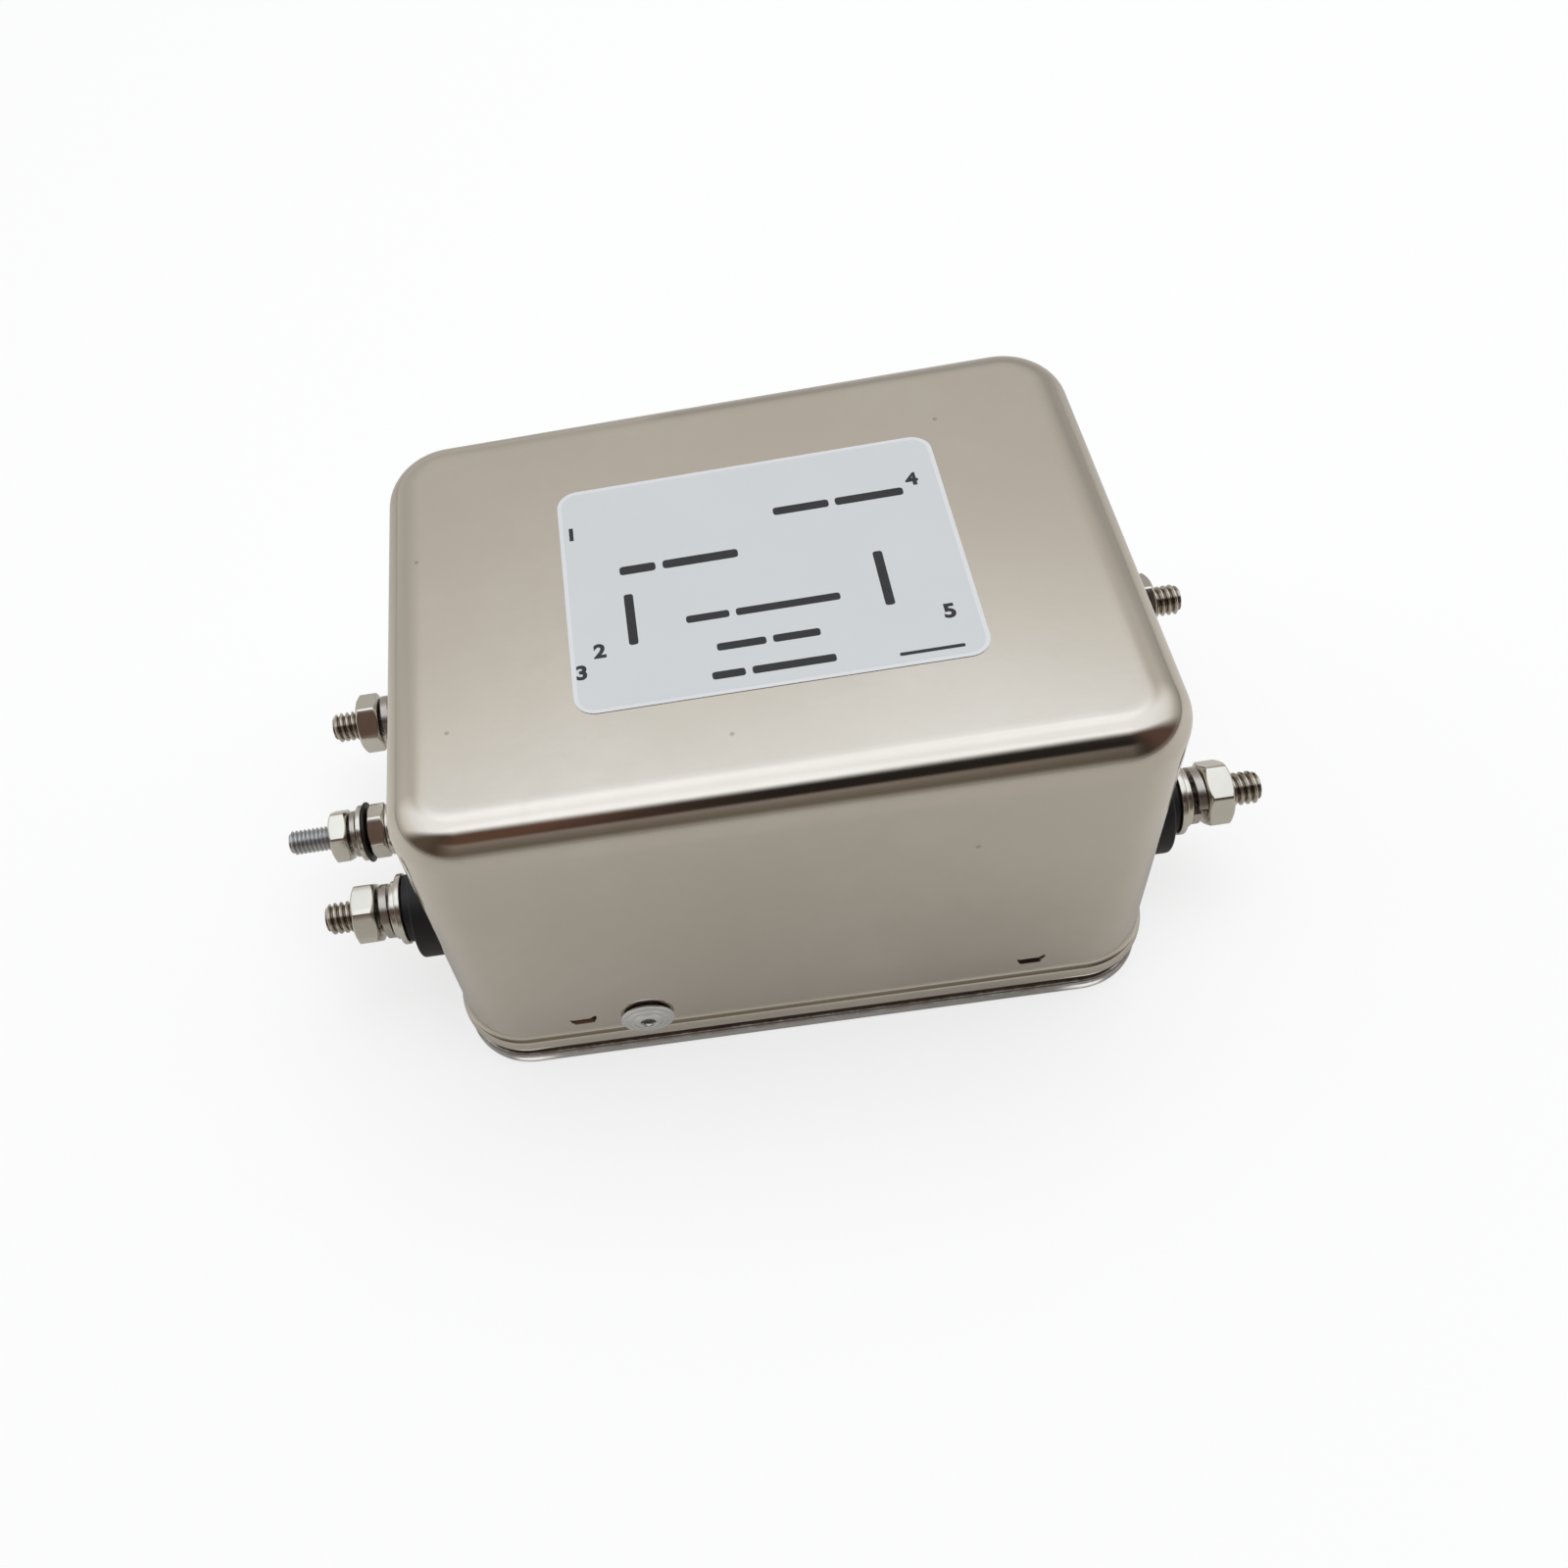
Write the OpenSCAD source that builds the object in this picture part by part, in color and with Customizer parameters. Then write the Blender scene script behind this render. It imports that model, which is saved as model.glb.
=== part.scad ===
// EMI line filter in a drawn steel case, for bolting to a chassis by its base.
// The origin is in the middle of the mounting face. +X points to the load end, -X to the line end,
// -Y is the front and +Z is up.

/* [Case] */
// Length of the case between its end walls
case_l = 104; // [100:1:130]
// Width of the case across its front and back walls
case_w = 78.5; // [76:0.5:100]
// Height of the case above the mounting face
case_h = 60.5; // [58:0.5:80]
// Sheet thickness of the case
case_wall = 0.8; // [0.6:0.1:1.2]
// Radius of the four upright corners
corner_r = 10; // [8:0.5:11]
// Radius of the drawn edge round the top
top_r = 6; // [3:0.5:7]
// Radius of the bead curled round the mouth
bead_r = 1.4; // [1.2:0.1:1.8]
// How far the bead stands out of the walls
bead_proud = 0.6; // [0.3:0.1:0.8]
// Gap between the bead and the base that shows as a dark line
bead_gap = 0.7; // [0.5:0.1:1.2]

/* [Base] */
// Sheet thickness of the base
base_t = 2; // [1.5:0.1:2.5]
// How far the edge of the base stands out of the case walls
base_proud = 0.5; // [0.2:0.1:0.8]
// Height of the two upturned flanges inside the case, above the sheet
flange_h = 16; // [14:0.5:20]
// Length of the two upturned flanges
flange_l = 78; // [74:1:80]
// Sheet thickness of the upturned flanges
flange_t = 1.2; // [0.8:0.1:1.6]
// Gap between the case wall and a flange
flange_clearance = 0.1; // [0.05:0.05:0.3]
// Distance between the mounting holes along the case
mount_pitch_x = 84; // [76:1:86]
// Distance between the mounting holes across the case
mount_pitch_y = 56; // [50:1:58]
// Radius of the mounting threads
mount_r = 2; // [1.5:0.25:2]

/* [Rivets and stakes] */
// Radius of a rivet's shank
rivet_r = 2; // [1.6:0.1:2.4]
// Radius of a rivet's head
rivet_head_r = 4.1; // [3.6:0.1:4.4]
// Height of a rivet's head
rivet_head_h = 1.4; // [1:0.1:1.8]
// Distance of the rivets from the middle of the case
rivet_x = 23.6; // [20:0.2:27]
// Gap between a rivet's head and the bead
rivet_bead_gap = 0.1; // [0.05:0.05:1]
// Distance of the stakes from the middle of the case
stake_x = 33.5; // [32.5:0.5:34.5]
// Height of the stakes above the mounting face
stake_z = 10.5; // [10:0.25:12]
// Width of a stake at its mouth
stake_w = 4; // [3:0.25:5]
// Height of a stake
stake_h = 1.2; // [0.8:0.1:1.8]
// How deep a stake is pressed into the case wall
stake_d = 0.4; // [0.2:0.05:0.5]

/* [Terminals] */
// Distance between the live and neutral studs
terminal_pitch = 38.5; // [36:0.5:40]
// Height of all the studs above the mounting face
terminal_z = 17.5; // [16.5:0.25:24]
// Thread radius of the live and neutral studs
stud_r = 2.5; // [2:0.25:2.5]
// How far the live and neutral studs reach out of the wall
stud_out = 19.6; // [18:0.2:24]
// How far every stud reaches into the case
stud_in = 14; // [13.6:0.2:15]
// Chamfer at the tips of the studs
stud_chamfer = 0.6; // [0.3:0.1:0.9]
// Width across flats of a terminal nut
nut_flats = 9; // [8:0.25:9.5]
// Height of a terminal nut
nut_h = 4; // [3.5:0.1:4.3]
// Height of the thin nuts that lock the solder tags
lock_nut_h = 2.7; // [2:0.1:2.9]
// Thickness of a terminal's flat washers
washer_t = 1; // [0.8:0.1:1.2]
// Radius of the small flat washers
washer_r = 4.6; // [4:0.1:5.2]
// Radius of the large flat washers
large_washer_r = 5.6; // [5:0.1:6.5]
// Radius of the terminals' spring washers
spring_r = 4.3; // [4:0.1:4.6]
// Thickness of the terminals' spring washers
spring_t = 1.3; // [1:0.1:1.5]
// How far apart the ends of a slack spring washer stand
spring_rise = 0.9; // [0.4:0.1:1]

/* [Insulators] */
// Radius of the outer shoulder and of the inner collar
insulator_r = 8; // [7.2:0.1:8.4]
// Thickness of the outer shoulder
shoulder_t = 5.1; // [4:0.1:6]
// Radius of the boss that carries the washers
boss_r = 5.3; // [5.1:0.1:5.6]
// Height of the boss above the shoulder
boss_h = 1.7; // [1:0.1:2.4]
// Radius of the spigot that goes through the wall
spigot_r = 4.9; // [4:0.1:5]
// How far the spigot reaches into the collar
spigot_in = 2; // [1:0.1:2.5]
// Thickness of the inner collar
collar_t = 3; // [2.6:0.1:3.2]
// Rounding of the moulded edges
mould_r = 0.7; // [0.3:0.1:0.9]

/* [Earth stud] */
// Thread radius of the earth stud
earth_r = 2; // [1.5:0.25:2]
// Place of the earth stud across the case
earth_y = -3.6; // [-4:0.2:4]
// How far the earth stud reaches out of the wall
earth_out = 26.4; // [25:0.2:30]
// Length of the round spacer on the earth stud
spacer_l = 9.7; // [6:0.1:10]
// Radius of the round spacer
spacer_r = 4.2; // [3.8:0.1:4.4]
// Width across flats of an earth nut
earth_flats = 8; // [7:0.25:8]
// Height of an earth nut
earth_nut_h = 3.2; // [2.8:0.1:3.4]
// Radius of the black lock washer
lock_washer_r = 5; // [4.6:0.1:5.4]
// Thickness of the black lock washer
lock_washer_t = 0.7; // [0.5:0.1:0.9]
// Number of teeth round the lock washer
lock_teeth = 12; // [8:1:14]
// Radius of the earth stud's flat washer
earth_washer_r = 4.5; // [4:0.1:5]
// Thickness of the earth stud's flat washer
earth_washer_t = 0.9; // [0.6:0.1:1.1]
// Radius of the earth stud's spring washer
earth_spring_r = 3.8; // [3.4:0.1:4]
// Thickness of the earth stud's spring washer
earth_spring_t = 0.9; // [0.7:0.1:1.1]
// How far apart the ends of the earth stud's spring washer stand
earth_spring_rise = 0.6; // [0.3:0.1:0.7]

/* [Label] */
// Length of the rating label
label_l = 54.6; // [40:0.2:70]
// Width of the rating label
label_w = 42; // [30:0.5:55]
// Thickness of the rating label
label_t = 0.12; // [0.08:0.02:0.2]
// Radius of the label's corners
label_r = 3; // [1:0.5:5]
// How far the label sits off the middle towards the load end
label_x = 2; // [-4:0.5:4]

/* [Board] */
// Gap between the circuit board and the end walls
board_end_gap = 6.7; // [6:0.1:7.2]
// Gap between the circuit board and the flanges
board_side_gap = 3.15; // [2.8:0.05:4]
// Thickness of the circuit board
board_t = 1.6; // [1:0.1:2]
// Height of the pillars under the board
pillar_h = 4.6; // [4:0.1:5]
// Radius of a pillar
pillar_r = 3; // [2.6:0.1:3.4]
// Distance of the pillars from the ends of the board
pillar_inset_x = 14.5; // [12:0.5:17]
// Distance of the pillars from the long edges of the board
pillar_inset_y = 5.5; // [4:0.25:6.5]
// Thread radius of the board screws
screw_r = 1.5; // [1.25:0.25:1.5]
// Radius of a board screw's head
screw_head_r = 2.7; // [2.4:0.1:3]
// Height of a board screw's head
screw_head_h = 1.8; // [1.4:0.1:2.2]

/* [Choke] */
// Outer radius of the toroidal core
core_r = 19; // [18:0.5:19.5]
// Radius of the core's window
core_hole_r = 11; // [10.5:0.5:12]
// Width of the core along its axis
core_w = 14; // [12:0.5:15]
// Radius of the winding wire
wire_r = 0.8; // [0.6:0.05:0.9]
// Number of turns in each winding
turns = 8; // [5:1:9]
// Angle that each winding covers, in degrees
winding_angle = 112; // [90:2:118]
// Thickness of the divider in the core's window
divider_t = 1.2; // [0.8:0.1:2]
// Thickness of the saddle under the core
saddle_t = 3; // [2.6:0.1:4]
// Length of the saddle
saddle_l = 14; // [10:0.5:16]

/* [Capacitors and resistor] */
// Thickness of an X capacitor
x_cap_t = 12; // [9:0.5:13]
// Length of an X capacitor across the case
x_cap_l = 26; // [22:0.5:26.5]
// Height of an X capacitor
x_cap_h = 22; // [15:0.5:28]
// Distance of the X capacitors from the ends of the board
x_cap_inset = 9; // [8:0.1:9.5]
// Length of a Y capacitor
y_cap_l = 18; // [12:0.5:24]
// Thickness of a Y capacitor
y_cap_t = 8; // [5:0.5:9]
// Height of a Y capacitor
y_cap_h = 14; // [9:0.5:20]
// Distance of the Y capacitors from the long edges of the board
y_cap_inset = 6; // [4:0.25:7]
// Radius of the bleed resistor
resistor_r = 2.1; // [1.5:0.1:2.3]
// Length of the bleed resistor's body
resistor_l = 10; // [7:0.5:14]
// Gap between the resistor and the Y capacitor beside it
resistor_gap = 2.3; // [1.9:0.1:2.9]
// Radius of the capacitor cases' edges
cap_edge_r = 0.8; // [0.4:0.1:1.5]

/* [Hidden] */
$fn = 48;

LINE = -1;
LOAD = 1;
LIVE = 1;
NEUTRAL = -1;
TERMINALS = [[LINE, LIVE], [LINE, NEUTRAL], [LOAD, LIVE], [LOAD, NEUTRAL]];

// Fits. A thread is drawn at this depth below its full radius wherever a nut or a hole holds it.
engaged_depth = 0.25;
thread_gap = 0.05;
hole_gap = 0.15;
press_gap = 0.02;

nickel = "#b9b3a8";
steel = "#8f8c86";
bright = "#d2cfc8";
black = "#1c1c1e";

bead_z = base_t + bead_gap + bead_r;
bead_top = bead_z + sqrt(bead_r * bead_r - (bead_r - bead_proud) * (bead_r - bead_proud));
rivet_z = bead_top + rivet_bead_gap + rivet_head_r;
board_z = base_t + pillar_h;
board_top = board_z + board_t;
front_y = case_w / 2;
end_x = case_l / 2;
flange_y = front_y - case_wall - flange_clearance;
board_l = case_l - 2 * (case_wall + board_end_gap);
board_w = 2 * (flange_y - flange_t - board_side_gap);
pillar_x = board_l / 2 - pillar_inset_x;
pillar_y = board_w / 2 - pillar_inset_y;
x_cap_x = board_l / 2 - x_cap_inset - x_cap_t / 2;
y_cap_y = board_w / 2 - y_cap_inset - y_cap_t / 2;
resistor_y = y_cap_y - y_cap_t / 2 - resistor_gap - resistor_r;
spigot_hole_r = spigot_r + hole_gap;

// Stations along a live or neutral stud, out from the face of the end wall
boss_s = shoulder_t + boss_h;
small_washer_s = boss_s + washer_t;
spring_s = small_washer_s + washer_t;
spring_free = spring_t + spring_rise;
nut_s = spring_s + spring_free;
nut_end_s = nut_s + nut_h;

// Stations along a stud inside the case, in from the face of the end wall
collar_in = case_wall + collar_t;
washer_in = collar_in + washer_t;
nut_in = washer_in + nut_h;
tag_t = 0.8;
tag_in = nut_in + tag_t;
tag_w = 4;
tag_ring_r = 4.6;

// Stations along the earth stud
lock_washer_s = spacer_l + earth_nut_h;
earth_washer_s = lock_washer_s + lock_washer_t;
earth_spring_s = earth_washer_s + earth_washer_t;
earth_spring_free = earth_spring_t + earth_spring_rise;
earth_nut_s = earth_spring_s + earth_spring_free;
earth_nut_end_s = earth_nut_s + earth_nut_h;
earth_nut_in = nut_in - earth_nut_h;

// Choke
core_z = board_top + saddle_t + core_r;
core_edge_r = 1.6;
wind_gap = 0.15;
wire_bend_r = core_edge_r + wire_r + wind_gap;
wind_in = (core_r - core_hole_r) / 2 + wire_r + wind_gap;
wind_half_w = core_w / 2 + wire_r + wind_gap;
core_mid_r = (core_r + core_hole_r) / 2;
lead_y = wind_half_w + 2.5 * wire_r;

// ---------- Shapes that several pieces share ----------

module round_rect(l, w, r) {
    square([l - 2 * r, w], center = true);
    square([l, w - 2 * r], center = true);
    for (x = [-1, 1], y = [-1, 1]) translate([x * (l / 2 - r), y * (w / 2 - r)]) circle(r);
}

// Sweeps a wall section round a rectangle with round corners. In the section, x runs outwards from
// the axis of a corner and y runs up.
module sweep_round(l, w, r) {
    for (turn = [0:3]) {
        across = turn % 2 == 0 ? l : w;
        along = turn % 2 == 0 ? w : l;
        rotate(90 * turn) translate([across / 2 - r, along / 2 - r]) {
            rotate_extrude(angle = 90) children();
            rotate([90, 0, 0]) linear_extrude(along - 2 * r) children();
        }
    }
}

// Puts a piece on a live or neutral stud: its z axis points out of the end wall, from the wall's face
module on_terminal(end, pole) {
    translate([end * end_x, pole * terminal_pitch / 2, terminal_z]) rotate([0, end * 90, 0]) children();
}

module on_every_terminal() {
    for (t = TERMINALS) on_terminal(t[0], t[1]) children();
}

module on_earth() {
    translate([LINE * end_x, earth_y, terminal_z]) rotate([0, LINE * 90, 0]) children();
}

module washer(r, hole_r, t) {
    difference() {
        cylinder(r = r, h = t);
        translate([0, 0, -t]) cylinder(r = hole_r, h = 3 * t);
    }
}

// Hex nut for a thread, with its corners turned down to 30 degrees at both ends
module hex_nut(flats, h, thread_r, turn) {
    corner = flats / sqrt(3);
    past = corner + 0.2;
    face_r = 0.455 * flats;
    drop = (past - face_r) * tan(30);
    rotate(turn) difference() {
        intersection() {
            cylinder(r = corner, h = h, $fn = 6);
            rotate(17) rotate_extrude() polygon([
                [0, 0], [face_r, 0], [past, drop], [past, h - drop], [face_r, h], [0, h]
            ]);
        }
        translate([0, 0, -h]) cylinder(r = thread_r - engaged_depth + thread_gap, h = 3 * h);
    }
}

// Split spring washer as it is when slack: one turn of square wire that climbs by its rise
module split_washer(r, hole_r, t, rise) {
    steps = 24;
    open_angle = 8;
    span = 360 - open_angle;
    angles = [for (i = [0:steps]) open_angle / 2 + span * i / steps];
    rings = [for (i = [0:steps]) let (a = angles[i], z = rise * i / steps) [
        [hole_r * cos(a), hole_r * sin(a), z], [r * cos(a), r * sin(a), z],
        [r * cos(a), r * sin(a), z + t], [hole_r * cos(a), hole_r * sin(a), z + t]
    ]];
    tube(rings);
}

// Closed tube through rings of points, capped at both ends
module tube(rings) {
    sides = len(rings[0]);
    last = len(rings) - 1;
    points = [for (ring = rings) for (p = ring) p];
    walls = [for (i = [0:last - 1], j = [0:sides - 1]) let (k = (j + 1) % sides)
        [i * sides + j, i * sides + k, (i + 1) * sides + k, (i + 1) * sides + j]];
    ends = [[for (j = [sides - 1:-1:0]) j], [for (j = [0:sides - 1]) last * sides + j]];
    polyhedron(points, concat(walls, ends), convexity = 6);
}

// Stud whose free end, beyond the outermost nut, has the full radius of its thread
module stud(r, out, in, bare_s) {
    translate([0, 0, -in]) cylinder(r = r - engaged_depth, h = in + bare_s);
    translate([0, 0, bare_s]) cylinder(r = r, h = out - bare_s - stud_chamfer);
    translate([0, 0, out - stud_chamfer]) cylinder(r1 = r, r2 = r - stud_chamfer, h = stud_chamfer);
}

// Ring tag whose tail is turned down to the board
module solder_tag(ring_r, hole_r, drop) {
    difference() {
        linear_extrude(tag_t) {
            circle(ring_r);
            translate([0, -tag_w / 2]) square([drop, tag_w]);
        }
        translate([0, 0, -tag_t]) cylinder(r = hole_r, h = 3 * tag_t);
    }
}

// ---------- Base, board and what stands on it ----------

module base_pan() {
    fold_r = 4;
    color(steel) difference() {
        union() {
            linear_extrude(base_t)
                round_rect(case_l + 2 * base_proud, case_w + 2 * base_proud, corner_r + base_proud);
            for (side = [-1, 1]) translate([0, side * flange_y, 0]) rotate([90, 0, 0])
                translate([0, 0, side > 0 ? 0 : -flange_t]) linear_extrude(flange_t) {
                    translate([-flange_l / 2, base_t]) square([flange_l, flange_h - fold_r]);
                    translate([-flange_l / 2 + fold_r, base_t]) square([flange_l - 2 * fold_r, flange_h]);
                    for (x = [-1, 1]) translate([x * (flange_l / 2 - fold_r), base_t + flange_h - fold_r])
                        circle(fold_r);
                }
        }
        rivet_holes();
        on_mount_holes() translate([0, 0, -base_t]) cylinder(r = clinch_r + press_gap, h = 3 * base_t);
    }
}

clinch_r = mount_r + 0.8;
clinch_head_r = mount_r + 1.9;
clinch_head_h = 2.8;

module on_mount_holes() {
    for (x = [-1, 1], y = [-1, 1]) translate([x * mount_pitch_x / 2, y * mount_pitch_y / 2, 0]) children();
}

module clinch_nuts() {
    seat = 0.1;
    color(bright) on_mount_holes() difference() {
        union() {
            translate([0, 0, seat]) cylinder(r = clinch_r, h = base_t - seat);
            translate([0, 0, base_t]) cylinder(r = clinch_head_r, h = clinch_head_h);
        }
        cylinder(r = mount_r, h = 2 * (base_t + clinch_head_h));
    }
}

module on_pillars() {
    for (x = [-1, 1], y = [-1, 1]) translate([x * pillar_x, y * pillar_y, 0]) children();
}

module board_pillars() {
    color(bright) on_pillars() translate([0, 0, base_t]) difference() {
        cylinder(r = pillar_r, h = pillar_h);
        translate([0, 0, 0.6]) cylinder(r = screw_r, h = pillar_h);
    }
}

module circuit_board() {
    color("#2f6b3a") difference() {
        translate([0, 0, board_z]) linear_extrude(board_t) round_rect(board_l, board_w, 2);
        on_pillars() cylinder(r = screw_r + hole_gap, h = case_h);
    }
}

module board_screws() {
    shank_l = board_t + pillar_h - 1;
    color(bright) on_pillars() translate([0, 0, board_top]) difference() {
        union() {
            cylinder(r = screw_head_r, h = screw_head_h);
            translate([0, 0, -shank_l]) cylinder(r = screw_r - thread_gap, h = shank_l);
        }
        for (slot = [0, 90]) rotate(slot) translate([0, 0, screw_head_h])
            cube([screw_head_r, 0.7, screw_head_h], center = true);
    }
}

module choke_saddle() {
    base_w = core_w + 4;
    color(black) difference() {
        translate([-saddle_l / 2, -base_w / 2, board_top]) cube([saddle_l, base_w, 2 * saddle_t]);
        translate([0, 0, core_z]) rotate([90, 0, 0])
            cylinder(r = core_r + thread_gap, h = core_w + 2 * thread_gap, center = true, $fn = 96);
    }
}

module choke_core() {
    color("#3d4a3f") translate([0, 0, core_z]) rotate([90, 0, 0]) rotate_extrude($fn = 96)
        translate([core_mid_r, 0]) round_rect(core_r - core_hole_r, core_w, core_edge_r);
}

module choke_divider() {
    reach = sqrt(core_hole_r * core_hole_r - divider_t * divider_t / 4) - thread_gap;
    color("#d8d4c4") translate([0, 0, core_z])
        cube([divider_t, core_w, 2 * reach], center = true);
}

// Rounded path of one turn round the core's section: [outwards from the core's middle line, along its axis]
turn_path = [for (quarter = [0:3], step = [0:2]) let (
    a = 90 * quarter + 45 * step,
    cx = (quarter == 0 || quarter == 3 ? 1 : -1) * (wind_in - wire_bend_r),
    cy = (quarter < 2 ? 1 : -1) * (wind_half_w - wire_bend_r)
) [cx + wire_bend_r * cos(a), cy + wire_bend_r * sin(a)]];

// Points along one winding. Side 1 winds the load half of the core, side -1 the line half.
function winding_points(side) = [for (turn = [0:turns - 1], i = [0:len(turn_path) - 1]) let (
    done = (turn + i / len(turn_path)) / turns,
    a = winding_angle * (done - 0.5),
    p = turn_path[i],
    reach = core_mid_r + p[0]
) [side * reach * cos(a), side * p[1], core_z + reach * sin(a)]];

// The bottom end drops to the board, and the top end comes down in front of the turns
function winding_route(side) = let (
    wound = winding_points(side),
    low = wound[0],
    high = wound[len(wound) - 1],
    foot_x = side * (saddle_l / 2 + 5)
) concat(
    [[foot_x, -side * lead_y / 3, board_top], [foot_x, -side * lead_y / 3, board_top + 1.5]],
    wound,
    [
        [high[0], -side * lead_y, high[2] - wire_r],
        [high[0], -side * (lead_y + wire_r / 2), high[2] - 4 * wire_r],
        [high[0], -side * (lead_y + wire_r / 2), board_top]
    ]
);

function unit(v) = v / norm(v);
function along(points, i) = unit(points[min(i + 1, len(points) - 1)] - points[max(i - 1, 0)]);
function across(v, t) = unit(v - (v * t) * t);
// Carries the first ring's direction along the route without twisting it
function carried(points, v, i = 0) = let (n = across(v, along(points, i)))
    i == len(points) - 1 ? [n] : concat([n], carried(points, n, i + 1));

module wire(points, r) {
    sides = 6;
    normals = carried(points, [0, 1, 0.1]);
    tube([for (i = [0:len(points) - 1]) let (n = normals[i], b = cross(along(points, i), n))
        [for (j = [0:sides - 1]) points[i] + r * (cos(360 * j / sides) * n + sin(360 * j / sides) * b)]]);
}

module choke_winding(side) {
    color("#b8692f") wire(winding_route(side), wire_r);
}

module x_capacitor(end) {
    color("#c9a227") translate([end * x_cap_x, 0, board_top])
        linear_extrude(x_cap_h) round_rect(x_cap_t, x_cap_l, cap_edge_r);
}

module y_capacitor(pole) {
    color("#2b5fa8") translate([0, pole * y_cap_y, board_top])
        linear_extrude(y_cap_h) round_rect(y_cap_l, y_cap_t, cap_edge_r);
}

module bleed_resistor() {
    lead_r = 0.4;
    lead_l = 3;
    lift = 0.3;
    z = board_top + resistor_r + lift;
    reach = resistor_l / 2 + lead_l;
    color("#6a8fb0") translate([0, resistor_y, 0]) {
        translate([0, 0, z]) rotate([0, 90, 0]) cylinder(r = resistor_r, h = resistor_l, center = true);
        for (side = [-1, 1]) {
            translate([side * (reach - lead_l / 2), 0, z]) rotate([0, 90, 0])
                cylinder(r = lead_r, h = lead_l, center = true);
            translate([side * reach, 0, board_top]) cylinder(r = lead_r, h = z - board_top);
            translate([side * reach, 0, z]) sphere(lead_r);
        }
    }
}

// ---------- Case ----------

module case_section() {
    r = corner_r;
    translate([r - case_wall, base_t]) square([case_wall, case_h - top_r - base_t]);
    translate([r - top_r, case_h - top_r]) intersection() {
        difference() {
            circle(top_r);
            circle(top_r - case_wall);
        }
        square(top_r);
    }
    translate([0, case_h - case_wall]) square([r - top_r, case_wall]);
    intersection() {
        translate([r + bead_proud - bead_r, bead_z]) circle(bead_r);
        translate([r - case_wall, bead_z - bead_r]) square([case_wall + bead_proud, 2 * bead_r]);
    }
}

module rivet_holes() {
    for (side = [-1, 1]) translate([side * rivet_x, side * front_y, rivet_z]) rotate([90, 0, 0])
        cylinder(r = rivet_r + thread_gap, h = 6, center = true);
}

// Mark that the staking tool leaves: a flat bar with its ends turned up
module stake_marks() {
    lip = 0.7;
    for (side = [-1, 1], x = [-1, 1]) translate([x * stake_x, side * (front_y - stake_d), stake_z])
        rotate([90, 0, side > 0 ? 180 : 0]) linear_extrude(2 * stake_d) polygon([
            [-stake_w / 2, stake_h / 2 + lip], [-stake_w / 2 + lip / 2, stake_h / 2],
            [stake_w / 2 - lip / 2, stake_h / 2], [stake_w / 2, stake_h / 2 + lip],
            [stake_w / 2 - lip, -stake_h / 2], [-stake_w / 2 + lip, -stake_h / 2]
        ]);
}

module case_can() {
    color(nickel) difference() {
        union() {
            sweep_round(case_l, case_w, corner_r) case_section();
            translate([0, 0, case_h - case_wall / 2])
                cube([case_l - 2 * corner_r, case_w - 2 * corner_r, case_wall], center = true);
        }
        on_every_terminal() cylinder(r = spigot_hole_r, h = 4 * case_wall, center = true);
        on_earth() cylinder(r = earth_r + hole_gap, h = 4 * case_wall, center = true);
        rivet_holes();
        stake_marks();
    }
}

module case_rivets() {
    grip = case_wall + flange_clearance + flange_t;
    bulb_r = rivet_r + 0.6;
    bulb_h = 2.4;
    mandrel_r = 0.55 * rivet_r;
    color("#b6b8bb") for (side = [-1, 1])
        translate([side * rivet_x, side * front_y, rivet_z]) rotate([side > 0 ? -90 : 90, 0, 0]) difference() {
            union() {
                rotate_extrude() rivet_head_section();
                translate([0, 0, -grip]) cylinder(r = rivet_r, h = grip);
                translate([0, 0, -grip - bulb_h]) cylinder(r = bulb_r, h = bulb_h);
            }
            translate([0, 0, 0.4 * rivet_head_h]) cylinder(r = mandrel_r, h = rivet_head_h);
        }
}

// Low dome with a thin edge
module rivet_head_section() {
    edge_h = 0.3;
    dome_h = rivet_head_h - edge_h;
    dome_r = (rivet_head_r * rivet_head_r + dome_h * dome_h) / (2 * dome_h);
    square([rivet_head_r, edge_h]);
    translate([0, edge_h]) intersection() {
        translate([0, dome_h - dome_r]) circle(dome_r, $fn = 128);
        square([rivet_head_r, dome_h]);
    }
}

module rating_label() {
    color("#cfd4da") translate([label_x, 0, case_h]) linear_extrude(label_t) round_rect(label_l, label_w, label_r);
}

// ---------- Terminals ----------

module insulator(end, pole) {
    color(black) on_terminal(end, pole) difference() {
        rotate_extrude() {
            translate([0, -case_wall - spigot_in]) square([spigot_r, case_wall + spigot_in]);
            square([insulator_r, shoulder_t - mould_r]);
            square([insulator_r - mould_r, shoulder_t]);
            translate([insulator_r - mould_r, shoulder_t - mould_r]) circle(mould_r);
            square([boss_r, boss_s]);
        }
        translate([0, 0, -2 * collar_in]) cylinder(r = stud_r + hole_gap, h = 4 * boss_s);
    }
}

module collar(end, pole) {
    color(black) on_terminal(end, pole) difference() {
        translate([0, 0, -collar_in]) cylinder(r = insulator_r, h = collar_t);
        translate([0, 0, -case_wall - spigot_in - hole_gap]) cylinder(r = spigot_hole_r, h = collar_in);
        translate([0, 0, -2 * collar_in]) cylinder(r = stud_r + hole_gap, h = 2 * collar_in);
    }
}

module terminal_stud(end, pole) {
    color(bright) on_terminal(end, pole) stud(stud_r, stud_out, stud_in, nut_end_s);
}

module large_washers() {
    color(bright) on_every_terminal()
        translate([0, 0, boss_s]) washer(large_washer_r, stud_r + hole_gap, washer_t);
}

module flat_washers() {
    color(bright) on_every_terminal()
        translate([0, 0, small_washer_s]) washer(washer_r, stud_r + hole_gap, washer_t);
}

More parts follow.
